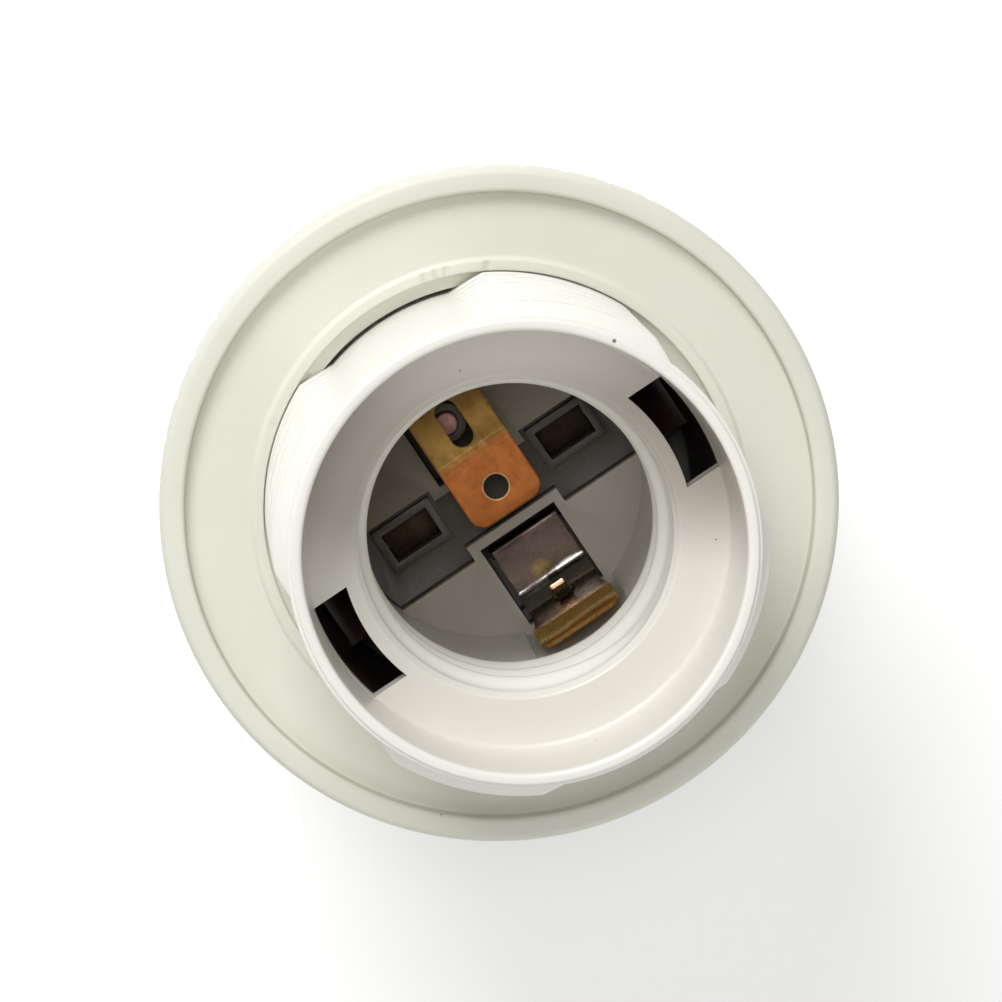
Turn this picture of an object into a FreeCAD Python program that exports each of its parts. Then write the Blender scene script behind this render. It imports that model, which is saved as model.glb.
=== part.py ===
"""Screw-cap lamp holder with a threaded skirt and a shade ring.

The holder stands on the flat end of its neck with its mouth up. The origin is the centre of
that end, +Z points out of the mouth, +X runs through the two release windows and +Y points to
the side that the centre contact comes from. All sizes are millimetres.
"""
import FreeCAD, Part
import math
import os

# ---- Neck and rear cap -------------------------------------------------------------------
NECK_R = 8.5                  # outside of the neck
NECK_LENGTH = 8.0             # neck below the dome
ENTRY_R = 4.5                 # M10 x 1 entry, measured at the thread's crests
ENTRY_LENGTH = 8.5            # threaded length of the entry
ENTRY_CHAMFER = 0.6
WIRE_PASS_R = 3.4             # hole above the entry, its edge stops the threaded tube
DOME_HEIGHT = 9.5             # domed part of the cap
DOME_STEPS = 6                # cones that the dome is turned in
CAP_STRAIGHT = 7.0            # straight band above the dome
CAP_WALL = 1.8
RIB_COUNT = 4                 # ribs under the contact carrier
RIB_THICKNESS = 1.6
RIB_LENGTH = 2.8              # rib, inwards from the carrier's edge
LOCK_SCREW_Z = 4.0            # height of the grub screw in the neck
LOCK_SCREW_R = 1.5
LOCK_SCREW_LENGTH = 3.2
HEX_SOCKET_ACROSS = 1.5
HEX_SOCKET_DEPTH = 1.4

# ---- Front sleeve: threaded skirt, cup floor and lamp thread tube ---------------------------
SHOULDER_HEIGHT = 2.2         # flange that the ring screws down to
SHOULDER_WIDTH = 1.95         # flange beyond the skirt
SPIGOT_LENGTH = 3.5           # sleeve below the shoulder, inside the cap
SPIGOT_CLEARANCE = 0.1
SKIRT_LENGTH = 34.7           # shoulder to mouth rim
SKIRT_WALL = 2.55             # crest of the skirt thread to the bore at the cup floor
RING_CLEARANCE = 0.1          # radial running fit between skirt and ring
BORE_TAPER = 0.3              # the cup's bore widens by this towards the mouth
RIM_WALL = 1.25               # plain band in front of the thread
RIM_HEIGHT = 1.1
EDGE_BREAK = 0.3              # broken edges of the shoulder and the rim
CUP_DEPTH = 9.4               # mouth rim to cup floor
CUP_FLOOR_THICKNESS = 2.0
LAMP_THREAD_R = 13.3          # groove radius of the E27 lamp thread
LAMP_THREAD_LENGTH = 12.0
MOUTH_CHAMFER = 0.5           # lead-in of the lamp thread
CHAMBER_STEP = 0.6            # the plain space below the lamp thread is wider by this
CHAMBER_WALL = 1.0
SKIRT_PITCH = 2.5             # skirt thread, turned as plain grooves
SKIRT_GROOVE_DEPTH = 1.0
SKIRT_GROOVE_FLOOR = 0.3
SKIRT_GROOVE_MOUTH = 1.9
SKIRT_GROOVE_COUNT = 12
RELIEF_DEPTH = 1.45           # thread reliefs along the skirt
RELIEF_FLOOR_HALF_ANGLE = 18.0  # degrees, at the floor of a relief
RELIEF_CREST_HALF_ANGLE = 27.0  # degrees, at the crest of the thread
RELIEF_TURN = -2.2            # degrees that the reliefs are turned from the axes
WINDOW_LENGTH = 3.2           # release windows in the cup floor, radially
WINDOW_WIDTH = 9.15
CONTACT_RECESS_WIDTH = 9.6    # recess in the chamber wall behind the side contact
CONTACT_RECESS_HEIGHT = 17.6
CONTACT_RECESS_DEPTH = 0.5
CATCH_WIDTH = 5.0             # catches on the tube that the latch arms snap over
CATCH_DEPTH = 0.7
CATCH_HEIGHT = 1.8
CATCH_Z_ABOVE_CARRIER = 7.0

# ---- Latch arms of the rear cap --------------------------------------------------------------
ARM_WIDTH = 7.0
ARM_THICKNESS = 1.3
ARM_CLEARANCE = 0.2           # arm to skirt, nib to catch
ARM_FOOT_HEIGHT = 7.0
ARM_NIB_HEIGHT = 1.8
ARM_FOOT_LENGTH = 3.0         # foot of an arm, outwards into the cap's wall

# ---- Shade ring -----------------------------------------------------------------------------
RING_FLANGE_WIDTH = 9.1       # thread radius to the outer edge
RING_BAND_WIDTH = 2.15        # raised outer band
RING_BAND_RISE = 1.3
RING_BAND_DEPTH = 2.4         # band below the flange face
RING_FLANGE_THICKNESS = 1.9
RING_HUB_WALL = 1.5
RING_HEIGHT = 6.5             # flange face to hub end
RING_LIP_WIDTH = 0.9          # raised lip round the hole
RING_LIP_RISE = 0.3
RING_EDGE_BREAK = 0.5
RING_GRIP_COUNT = 48          # grip notches under the outer band
RING_GRIP_DEPTH = 0.35
RING_GRIP_WIDTH = 0.9         # across a notch at the outer edge
RING_SEAT_GAP = 0.3

# ---- Contact carrier ------------------------------------------------------------------------
CARRIER_LEDGE = 0.5           # carrier beyond the lamp thread tube that stands on it
CARRIER_HEIGHT = 7.8
CARRIER_EDGE_BREAK = 0.6
CHANNEL_DEPTH = 2.4           # channel across the carrier, along X
CHANNEL_Y = (-5.2, 2.6)       # sides of the channel at its ends
CHANNEL_MIDDLE_Y = (-3.7, 1.5)  # sides of the narrower middle
CHANNEL_MIDDLE_HALF = 4.9     # half length of the narrower middle
TERMINAL_X = 8.4              # terminal openings, centre distance from the axis
TERMINAL_Y = -0.15
TERMINAL_SIZE = (4.8, 2.9)    # opening along X and along Y
TERMINAL_FRAME_WALL = 0.7
TERMINAL_FRAME_RISE = 0.9
STRIP_POCKET_HALF = 3.8       # pocket under the centre contact
STRIP_POCKET_START_Y = 2.3
STRIP_POCKET_WALL = 1.3       # pocket to the outer face of the centre contact's tail
STRIP_POCKET_DEPTH = 5.2
SIDE_POCKET_X = (-4.0, 4.0)   # pocket of the side contact
SIDE_POCKET_ENDS = (1.1, 7.2)  # pocket beyond the leaf's foot, outwards and inwards
SIDE_SLOT_WIDTH = 0.45        # slot beside the side contact's plate
SIDE_SLOT_DEPTH = 5.0
TAIL_SLOT_WIDTH = 1.6         # slots that the contacts' tails stand in

# ---- Sprung contacts ------------------------------------------------------------------------
SHEET = 0.4                   # contact sheet thickness
BEND_R = 0.5                  # inner radius of the bends
STRIP_WIDTH = 7.3
STRIP_X = 0.5                 # centre line of the centre contact
TAB_RISE = 3.2                # tab top above the carrier's floor
TAB_END_Y = -2.7
TAB_BEND_Y = 3.8
TAB_HOLE_R = 1.15
TAB_CORNER_R = 1.4
STRIP_ROOT_INSET = 1.4        # chamber wall to the outer face of the centre contact's tail
STRIP_ROOT_RISE = 1.5         # strip top above the carrier's floor at its root
STRIP_TAIL = 3.6
STRIP_SLOT_Y = (4.5, 9.1)
STRIP_SLOT_R = 1.05
PLATE_X = 0.15                # centre line of the side contact
PLATE_WIDTH = 7.1
PLATE_DROP = 1.8              # plate top below the carrier's floor
PLATE_LENGTH = 5.5
PLATE_STEP = 1.4              # plate's fold to the leaf's foot
LEAF_INSET = 2.1              # chamber wall to the leaf
LEAF_HEIGHT = 9.8             # foot of the leaf to the bend of its tip
LEAF_TIP_OUT = 1.1
LEAF_TIP_RISE = 3.4
LEAF_TIP_WIDTH = 8.1
LEAF_CORNER_R = 1.2
PLATE_TAIL = 3.0
CONTACT_GAP = 0.3             # sprung contact to what lies under it
LANCE_WIDTH = 2.0             # lanced tongue in the leaf
LANCE_HEIGHT = 2.6

# ---- Terminals ------------------------------------------------------------------------------
TERMINAL_FIT = 0.1            # terminal block in its opening
TERMINAL_BLOCK_HEIGHT = 4.0
WIRE_HOLE_R = 0.9
SCREW_R = 1.25
SCREW_HEAD_R = 2.0
SCREW_HEAD_HEIGHT = 1.5
SCREW_SLOT_WIDTH = 0.6
SCREW_SLOT_DEPTH = 0.7
SCREW_FIT = 0.05
BUS_WIDTH = 4.0
BUS_THICKNESS = 0.8
RIVET_Y = 6.8
RIVET_X = -0.1
RIVET_R = 0.8
RIVET_HEAD_R = 1.15
RIVET_HEAD_HEIGHT = 0.7
RIVET_BOSS_R = 1.8
RIVET_FIT = 0.02
BUS_TAB_INSET = 3.8           # leaf's foot to the bus strip's tab
BUS_TAB_WIDTH = 3.0

# ---- Radii and places that follow from the lamp thread ---------------------------------------
CHAMBER_R = LAMP_THREAD_R + CHAMBER_STEP
TUBE_R = CHAMBER_R + CHAMBER_WALL
CARRIER_R = TUBE_R + CARRIER_LEDGE
RIB_INNER_R = CARRIER_R - RIB_LENGTH
SKIRT_BORE_FLOOR_R = TUBE_R + WINDOW_LENGTH
SKIRT_BORE_MOUTH_R = SKIRT_BORE_FLOOR_R + BORE_TAPER
RIM_R = SKIRT_BORE_MOUTH_R + RIM_WALL
SKIRT_R = SKIRT_BORE_FLOOR_R + SKIRT_WALL
RING_THREAD_R = SKIRT_R + RING_CLEARANCE
CAP_R = SKIRT_R + SHOULDER_WIDTH
SPIGOT_R = CAP_R - CAP_WALL - SPIGOT_CLEARANCE
RING_R = RING_THREAD_R + RING_FLANGE_WIDTH
STRIP_ROOT_Y = CHAMBER_R - STRIP_ROOT_INSET
STRIP_POCKET_END_Y = STRIP_ROOT_Y - STRIP_POCKET_WALL
LEAF_FOOT_Y = LEAF_INSET - CHAMBER_R
PLATE_FOLD_Y = LEAF_FOOT_Y + PLATE_STEP
PLATE_START_Y = PLATE_FOLD_Y + PLATE_LENGTH
SIDE_POCKET_Y = (LEAF_FOOT_Y - SIDE_POCKET_ENDS[0], LEAF_FOOT_Y + SIDE_POCKET_ENDS[1])
BUS_TAB_Y = LEAF_FOOT_Y + BUS_TAB_INSET

# ---- Levels along Z -------------------------------------------------------------------------
CAP_TOP_Z = NECK_LENGTH + DOME_HEIGHT + CAP_STRAIGHT
SHOULDER_TOP_Z = CAP_TOP_Z + SHOULDER_HEIGHT
SLEEVE_BOTTOM_Z = CAP_TOP_Z - SPIGOT_LENGTH
MOUTH_Z = SHOULDER_TOP_Z + SKIRT_LENGTH
CUP_FLOOR_Z = MOUTH_Z - CUP_DEPTH
THREAD_END_Z = CUP_FLOOR_Z - LAMP_THREAD_LENGTH
CARRIER_TOP_Z = SLEEVE_BOTTOM_Z - 1.2
CARRIER_BOTTOM_Z = CARRIER_TOP_Z - CARRIER_HEIGHT
CHANNEL_Z = CARRIER_TOP_Z - CHANNEL_DEPTH
RING_BOTTOM_Z = SHOULDER_TOP_Z + RING_SEAT_GAP
RING_FACE_Z = RING_BOTTOM_Z + RING_HEIGHT


Z_AXIS = FreeCAD.Vector(0, 0, 1)
ORIGIN = FreeCAD.Vector(0, 0, 0)


def point(x, y, z):
    """Return a vector."""
    return FreeCAD.Vector(x, y, z)


def box(x_range, y_range, z_range):
    """Return a box between three pairs of limits."""
    size = [limits[1] - limits[0] for limits in (x_range, y_range, z_range)]
    return Part.makeBox(*size, point(x_range[0], y_range[0], z_range[0]))


def cylinder(radius, z_range, x=0.0, y=0.0):
    """Return an upright cylinder."""
    return Part.makeCylinder(radius, z_range[1] - z_range[0], point(x, y, z_range[0]))


def revolved(profile):
    """Return a solid turned about Z from a list of (r, z) corners."""
    corners = [point(r, 0, z) for r, z in profile]
    return Part.Face(Part.makePolygon(corners + [corners[0]])).revolve(ORIGIN, Z_AXIS, 360)


def turned(shape, degrees):
    """Return a copy of a shape turned about Z."""
    copy = shape.copy()
    copy.rotate(ORIGIN, Z_AXIS, degrees)
    return copy


def clean(shape):
    """Merge split faces and return the single solid where there is one."""
    shape = shape.removeSplitter()
    return shape.Solids[0] if len(shape.Solids) == 1 else shape


def circle_edges(shape, radius, z, tolerance=0.02):
    """Return the circular edges of a given radius at a given height."""
    found = []
    for edge in shape.Edges:
        curve = edge.Curve
        if isinstance(curve, Part.Circle) and abs(curve.Radius - radius) < tolerance:
            if abs(curve.Center.z - z) < tolerance:
                found.append(edge)
    return found


def upright_edges(shape, x_limits, y_limits):
    """Return the edges along Z that lie within limits of x and y."""
    found = []
    for edge in shape.Edges:
        first, last = edge.Vertexes[0].Point, edge.Vertexes[-1].Point
        along_z = math.hypot(first.x - last.x, first.y - last.y) < 1e-6 < abs(first.z - last.z)
        if along_z and x_limits[0] < first.x < x_limits[1] and y_limits[0] < first.y < y_limits[1]:
            found.append(edge)
    return found


def relief_cut(z_range):
    """Return the cut of one thread relief about +X, with ends that open outwards."""
    floor_r = SKIRT_R - RELIEF_DEPTH
    floor_angle = math.radians(RELIEF_FLOOR_HALF_ANGLE)
    crest_angle = math.radians(RELIEF_CREST_HALF_ANGLE)
    floor_end = point(floor_r * math.cos(floor_angle), floor_r * math.sin(floor_angle), z_range[0])
    crest_end = point(SKIRT_R * math.cos(crest_angle), SKIRT_R * math.sin(crest_angle), z_range[0])
    beyond = crest_end + (crest_end - floor_end)
    outer_r = math.hypot(beyond.x, beyond.y)

    def mirrored(place):
        return point(place.x, -place.y, place.z)

    edges = [
        Part.Arc(mirrored(floor_end), point(floor_r, 0, z_range[0]), floor_end).toShape(),
        Part.makeLine(floor_end, beyond),
        Part.Arc(beyond, point(outer_r, 0, z_range[0]), mirrored(beyond)).toShape(),
        Part.makeLine(mirrored(beyond), mirrored(floor_end)),
    ]
    return Part.Face(Part.Wire(edges)).extrude(point(0, 0, z_range[1] - z_range[0]))


def folded_sheet(path, bends, thickness, x_range):
    """Return a sheet folded along a path in the YZ plane.

    path lists the (y, z) corners of one face; bends lists the radius of each inner corner on
    that face. The sheet's thickness goes to the left of the path.
    """
    near = offset_path(path, 0.0)
    far = offset_path(path, thickness)
    near_edges = rounded_path(near, bends, 0.0)
    far_edges = rounded_path(far, bends, thickness)
    first = Part.makeLine(to_point(near[0]), to_point(far[0]))
    last = Part.makeLine(to_point(near[-1]), to_point(far[-1]))
    wire = Part.Wire(Part.__sortEdges__(near_edges + far_edges + [first, last]))
    sheet = Part.Face(wire).extrude(point(x_range[1] - x_range[0], 0, 0))
    sheet.translate(point(x_range[0], 0, 0))
    return sheet


def to_point(corner):
    """Return the (y, z) corner as a vector."""
    return point(0, corner[0], corner[1])


def offset_path(path, distance):
    """Return a path moved to its left by a distance, its corners kept sharp."""
    normals = []
    for (y0, z0), (y1, z1) in zip(path, path[1:]):
        length = math.hypot(y1 - y0, z1 - z0)
        normals.append((-(z1 - z0) / length, (y1 - y0) / length))
    moved = []
    for index, (y, z) in enumerate(path):
        before = normals[max(index - 1, 0)]
        after = normals[min(index, len(normals) - 1)]
        scale = distance / (1 + before[0] * after[0] + before[1] * after[1])
        moved.append((y + scale * (before[0] + after[0]), z + scale * (before[1] + after[1])))
    return moved


def rounded_path(path, bends, offset):
    """Return the edges of a path with an arc at each inner corner.

    A corner that turns right has its centre on the right, so its radius grows by the offset;
    one that turns left has it shrink.
    """
    edges = []
    start = to_point(path[0])
    for index, radius in enumerate(bends, start=1):
        corner = to_point(path[index])
        back = (to_point(path[index - 1]) - corner).normalize()
        ahead = (to_point(path[index + 1]) - corner).normalize()
        turn = back.y * ahead.z - back.z * ahead.y
        local = radius + offset if turn > 0 else radius + SHEET - offset
        half = back.getAngle(ahead) / 2
        reach = local / math.tan(half)
        entry, leave = corner + back * reach, corner + ahead * reach
        middle = (back + ahead).normalize()
        crown = corner + middle * (local / math.sin(half) - local)
        edges.append(Part.makeLine(start, entry))
        edges.append(Part.Arc(entry, crown, leave).toShape())
        start = leave
    edges.append(Part.makeLine(start, to_point(path[-1])))
    return edges


def skirt_thread_profile():
    """Return the (r, z) corners of the skirt's outside, from the shoulder up to the rim's foot."""
    top_z = MOUTH_Z - RIM_HEIGHT - (SKIRT_R - RIM_R)
    floor, mouth = SKIRT_GROOVE_FLOOR / 2, SKIRT_GROOVE_MOUTH / 2
    corners = [(SKIRT_R, SHOULDER_TOP_Z)]
    for index in reversed(range(SKIRT_GROOVE_COUNT)):
        z = top_z - SKIRT_PITCH * (index + 0.5)
        corners += [(SKIRT_R, z - mouth), (SKIRT_R - SKIRT_GROOVE_DEPTH, z - floor),
                    (SKIRT_R - SKIRT_GROOVE_DEPTH, z + floor), (SKIRT_R, z + mouth)]
    return corners + [(SKIRT_R, top_z)]


def make_front_sleeve():
    """Skirt, cup floor and lamp thread tube, moulded as one piece."""
    body = revolved([
        (SKIRT_BORE_FLOOR_R, SLEEVE_BOTTOM_Z),
        (SPIGOT_R, SLEEVE_BOTTOM_Z),
        (SPIGOT_R, CAP_TOP_Z),
        (CAP_R, CAP_TOP_Z),
        (CAP_R, SHOULDER_TOP_Z - EDGE_BREAK),
        (CAP_R - EDGE_BREAK, SHOULDER_TOP_Z),
        *skirt_thread_profile(),
        (RIM_R, MOUTH_Z - RIM_HEIGHT),
        (RIM_R, MOUTH_Z - EDGE_BREAK),
        (RIM_R - EDGE_BREAK, MOUTH_Z),
        (SKIRT_BORE_MOUTH_R + EDGE_BREAK, MOUTH_Z),
        (SKIRT_BORE_MOUTH_R, MOUTH_Z - EDGE_BREAK),
        (SKIRT_BORE_FLOOR_R, CUP_FLOOR_Z),
        (LAMP_THREAD_R + MOUTH_CHAMFER, CUP_FLOOR_Z),
        (LAMP_THREAD_R, CUP_FLOOR_Z - MOUTH_CHAMFER),
        (LAMP_THREAD_R, THREAD_END_Z),
        (CHAMBER_R, THREAD_END_Z - CHAMBER_STEP),
        (CHAMBER_R, CARRIER_TOP_Z),
        (TUBE_R, CARRIER_TOP_Z),
        (TUBE_R, CUP_FLOOR_Z - CUP_FLOOR_THICKNESS),
        (SKIRT_BORE_FLOOR_R, CUP_FLOOR_Z - CUP_FLOOR_THICKNESS),
    ])
    relief = relief_cut((SHOULDER_TOP_Z, MOUTH_Z - RIM_HEIGHT))
    cuts = [turned(relief, RELIEF_TURN + 90 * index) for index in range(4)]

    half = WINDOW_WIDTH / 2
    window_z = (CUP_FLOOR_Z - CUP_FLOOR_THICKNESS, CUP_FLOOR_Z)
    window = box((0, SKIRT_BORE_FLOOR_R), (-half, half), window_z)
    window = window.common(cylinder(SKIRT_BORE_FLOOR_R, window_z)).cut(cylinder(TUBE_R, window_z))
    cuts += [window, turned(window, 180)]

    half = CONTACT_RECESS_WIDTH / 2
    recess_z = (CARRIER_TOP_Z, CARRIER_TOP_Z + CONTACT_RECESS_HEIGHT)
    recess = box((-half, half), (-TUBE_R, 0), recess_z)
    cuts.append(recess.common(cylinder(CHAMBER_R + CONTACT_RECESS_DEPTH, recess_z)))
    body = body.cut(Part.makeCompound(cuts))

    half = CATCH_WIDTH / 2
    catch_z = CARRIER_TOP_Z + CATCH_Z_ABOVE_CARRIER
    outer = TUBE_R + CATCH_DEPTH
    profile = [(CHAMBER_R + CHAMBER_WALL / 2, catch_z - CATCH_DEPTH), (TUBE_R, catch_z - CATCH_DEPTH),
               (outer, catch_z), (outer, catch_z + CATCH_HEIGHT),
               (CHAMBER_R + CHAMBER_WALL / 2, catch_z + CATCH_HEIGHT)]
    corners = [point(x, -half, z) for x, z in profile]
    catch = Part.Face(Part.makePolygon(corners + [corners[0]])).extrude(point(0, CATCH_WIDTH, 0))
    return clean(body.fuse([catch, turned(catch, 180)]))


def dome_profile(inset):
    """Return the (r, z) corners of the cap's outline, inset by a wall, from the neck to the cap's top."""
    dome_top_z = NECK_LENGTH + DOME_HEIGHT
    corners = []
    for index in range(DOME_STEPS + 1):
        angle = math.radians(90 * index / DOME_STEPS)
        corners.append((NECK_R - inset + (CAP_R - NECK_R) * math.sin(angle),
                        dome_top_z - (DOME_HEIGHT - inset) * math.cos(angle)))
    return corners + [(CAP_R - inset, CAP_TOP_Z)]


def make_rear_cap():
    """Domed cap with its neck, threaded entry, carrier ribs and two latch arms."""
    outer, inner = dome_profile(0.0), dome_profile(CAP_WALL)
    shell = revolved([(0, 0), (NECK_R - ENTRY_CHAMFER, 0), (NECK_R, ENTRY_CHAMFER), *outer, (0, CAP_TOP_Z)])
    hollow = revolved([(0, inner[0][1]), *inner, (0, CAP_TOP_Z)])

    ribs = []
    for index in range(RIB_COUNT):
        rib = box((RIB_INNER_R, CAP_R), (-RIB_THICKNESS / 2, RIB_THICKNESS / 2),
                  (NECK_LENGTH, CARRIER_BOTTOM_Z))
        ribs.append(turned(rib, 360 / RIB_COUNT * (index + 0.5)))
    ribs = Part.makeCompound(ribs).common(hollow)

    half = ARM_WIDTH / 2
    arm_outer = SKIRT_BORE_FLOOR_R - ARM_CLEARANCE
    arm_inner = arm_outer - ARM_THICKNESS
    catch_top = CARRIER_TOP_Z + CATCH_Z_ABOVE_CARRIER + CATCH_HEIGHT
    nib_z = catch_top + ARM_CLEARANCE
    arm_x = arm_outer * math.cos(math.asin(half / arm_outer))
    foot_z = (CARRIER_BOTTOM_Z, CARRIER_BOTTOM_Z + ARM_FOOT_HEIGHT)
    blocks = [
        box((arm_inner, arm_inner + ARM_FOOT_LENGTH), (-half, half), foot_z).common(hollow),
        box((arm_inner, arm_x), (-half, half), (foot_z[0], nib_z + ARM_NIB_HEIGHT)),
        box((TUBE_R + ARM_CLEARANCE, arm_inner), (-half, half), (nib_z, nib_z + ARM_NIB_HEIGHT)),
    ]
    arm = blocks[0].fuse(blocks[1:])
    cap = shell.cut(hollow).fuse([ribs, arm, turned(arm, 180)])

    entry = cylinder(ENTRY_R, (0, ENTRY_LENGTH))
    lead_in = Part.makeCone(ENTRY_R + ENTRY_CHAMFER, ENTRY_R, ENTRY_CHAMFER)
    passage = cylinder(WIRE_PASS_R, (0, CAP_TOP_Z))
    lock_hole = Part.makeCylinder(LOCK_SCREW_R, NECK_R + 1, point(0, 0, LOCK_SCREW_Z), point(0, 1, 0))
    return clean(cap.cut([entry, lead_in, passage, lock_hole]))


def make_neck_lock_screw():
    """Grub screw that locks the threaded tube in the neck."""
    end_y = NECK_R - ENTRY_CHAMFER
    start = point(0, end_y - LOCK_SCREW_LENGTH, LOCK_SCREW_Z)
    along = point(0, 1, 0)
    screw = Part.makeCylinder(LOCK_SCREW_R - SCREW_FIT, LOCK_SCREW_LENGTH, start, along)
    corner_r = HEX_SOCKET_ACROSS / math.sqrt(3)
    corners = []
    for index in range(7):
        angle = math.radians(60 * index)
        corners.append(point(corner_r * math.cos(angle), end_y, LOCK_SCREW_Z + corner_r * math.sin(angle)))
    socket = Part.Face(Part.makePolygon(corners)).extrude(along * -HEX_SOCKET_DEPTH)
    return clean(screw.cut(socket))


def make_shade_ring():
    """Flanged ring that screws up the skirt to clamp a shade."""
    hub_r = RING_THREAD_R + RING_HUB_WALL
    lip_r = RING_THREAD_R + RING_LIP_WIDTH
    band_r = RING_R - RING_BAND_WIDTH
    band_z = RING_FACE_Z + RING_BAND_RISE
    under_z = RING_FACE_Z - RING_FLANGE_THICKNESS
    edge_z = RING_FACE_Z - RING_BAND_DEPTH
    ring = revolved([
        (RING_THREAD_R, RING_BOTTOM_Z),
        (hub_r, RING_BOTTOM_Z),
        (hub_r, under_z),
        (band_r, under_z),
        (band_r, edge_z),
        (RING_R, edge_z),
        (RING_R, band_z - RING_EDGE_BREAK),
        (RING_R - RING_EDGE_BREAK, band_z),
        (band_r, band_z),
        (band_r, RING_FACE_Z),
        (lip_r, RING_FACE_Z),
        (lip_r, RING_FACE_Z + RING_LIP_RISE),
        (RING_THREAD_R, RING_FACE_Z + RING_LIP_RISE),
    ])
    root_r, open_r = RING_R - RING_GRIP_DEPTH, RING_R + RING_GRIP_DEPTH
    root = point(root_r, 0, edge_z)
    sides = [point(open_r, y, edge_z) for y in (-RING_GRIP_WIDTH, RING_GRIP_WIDTH)]
    notch = Part.Face(Part.makePolygon([root, *sides, root])).extrude(point(0, 0, RING_FACE_Z - edge_z))
    notches = [turned(notch, 360 / RING_GRIP_COUNT * index) for index in range(RING_GRIP_COUNT)]
    return clean(ring.cut(notches))


def make_contact_carrier():
    """Insulating block with the wiring channel, terminal openings and contact pockets."""
    carrier = cylinder(CARRIER_R, (CARRIER_BOTTOM_Z, CARRIER_TOP_Z))
    carrier = carrier.makeChamfer(CARRIER_EDGE_BREAK, circle_edges(carrier, CARRIER_R, CARRIER_BOTTOM_Z))
    channel_z = (CHANNEL_Z, CARRIER_TOP_Z)
    inside = cylinder(CHAMBER_R, channel_z)
    ends = []
    for limits in ((-CARRIER_R, -CHANNEL_MIDDLE_HALF), (CHANNEL_MIDDLE_HALF, CARRIER_R)):
        ends.append(box(limits, CHANNEL_Y, channel_z))
    middle = box((-CHANNEL_MIDDLE_HALF, CHANNEL_MIDDLE_HALF), CHANNEL_MIDDLE_Y, channel_z)
    carrier = carrier.cut(middle.fuse(ends).common(inside))

    half_x, half_y = TERMINAL_SIZE[0] / 2, TERMINAL_SIZE[1] / 2
    wall = TERMINAL_FRAME_WALL
    frames, cuts = [], []
    for side in (-1, 1):
        x = side * TERMINAL_X
        frames.append(box((x - half_x - wall, x + half_x + wall),
                          (TERMINAL_Y - half_y - wall, TERMINAL_Y + half_y + wall),
                          (CHANNEL_Z - 0.2, CHANNEL_Z + TERMINAL_FRAME_RISE)))
        cuts.append(box((x - half_x, x + half_x), (TERMINAL_Y - half_y, TERMINAL_Y + half_y),
                        (CARRIER_BOTTOM_Z, CARRIER_TOP_Z)))
        cuts += screw_holes(side)
    carrier = carrier.fuse(frames)

    pocket_z = (CARRIER_TOP_Z - STRIP_POCKET_DEPTH, CARRIER_TOP_Z)
    pocket = box((-STRIP_POCKET_HALF, STRIP_POCKET_HALF),
                 (STRIP_POCKET_START_Y, STRIP_POCKET_END_Y), pocket_z)
    boss = cylinder(RIVET_BOSS_R, (pocket_z[0], rivet_head_base()), RIVET_X, RIVET_Y)
    cuts.append(pocket.cut(boss))
    cuts.append(cylinder(RIVET_R + RIVET_FIT, (CARRIER_BOTTOM_Z, CARRIER_TOP_Z), RIVET_X, RIVET_Y))

    half = STRIP_WIDTH / 2 + CONTACT_GAP
    cuts.append(box((STRIP_X - half, STRIP_X + half),
                    (STRIP_ROOT_Y - SHEET - TAIL_SLOT_WIDTH / 2, STRIP_ROOT_Y + TAIL_SLOT_WIDTH / 2),
                    (CARRIER_TOP_Z - STRIP_TAIL - CONTACT_GAP, CARRIER_TOP_Z)))

    plate_seat_z = CARRIER_TOP_Z - PLATE_DROP - SHEET - CONTACT_GAP
    cuts.append(box(SIDE_POCKET_X, SIDE_POCKET_Y, (plate_seat_z, CARRIER_TOP_Z)))
    cuts.append(box((SIDE_POCKET_X[0], SIDE_POCKET_X[0] + SIDE_SLOT_WIDTH), (LEAF_FOOT_Y, SIDE_POCKET_Y[1]),
                    (CARRIER_TOP_Z - SIDE_SLOT_DEPTH, CARRIER_TOP_Z)))
    half = PLATE_WIDTH / 2 + CONTACT_GAP
    cuts.append(box((PLATE_X - half, PLATE_X + half),
                    (PLATE_START_Y - TAIL_SLOT_WIDTH, SIDE_POCKET_Y[1]),
                    (plate_seat_z - PLATE_TAIL, CARRIER_TOP_Z)))
    half = BUS_TAB_WIDTH / 2 + TERMINAL_FIT
    cuts.append(box((PLATE_X - half, PLATE_X + half),
                    (BUS_TAB_Y - TERMINAL_FIT, BUS_TAB_Y + BUS_THICKNESS + TERMINAL_FIT),
                    (CARRIER_BOTTOM_Z, CARRIER_TOP_Z)))
    return clean(carrier.cut(cuts))


def rivet_head_base():
    """Return the height of the boss face that the rivet's head sits on."""
    return CARRIER_TOP_Z - RIVET_HEAD_HEIGHT / 2


def screw_height():
    """Return the height of the terminal screws' axis."""
    return CARRIER_BOTTOM_Z + TERMINAL_BLOCK_HEIGHT / 2


def screw_holes(side):
    """Return the cuts for one terminal screw, from the carrier's edge inwards."""
    z = screw_height()
    along = point(side, 0, 0)
    shank = Part.makeCylinder(SCREW_R + SCREW_FIT, CARRIER_R, point(side * TERMINAL_X, TERMINAL_Y, z), along)
    head_start = point(side * (CARRIER_R - SCREW_HEAD_HEIGHT - 2 * SCREW_FIT), TERMINAL_Y, z)
    head = Part.makeCylinder(SCREW_HEAD_R + SCREW_FIT, CARRIER_R, head_start, along)
    return [shank, head]


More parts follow.
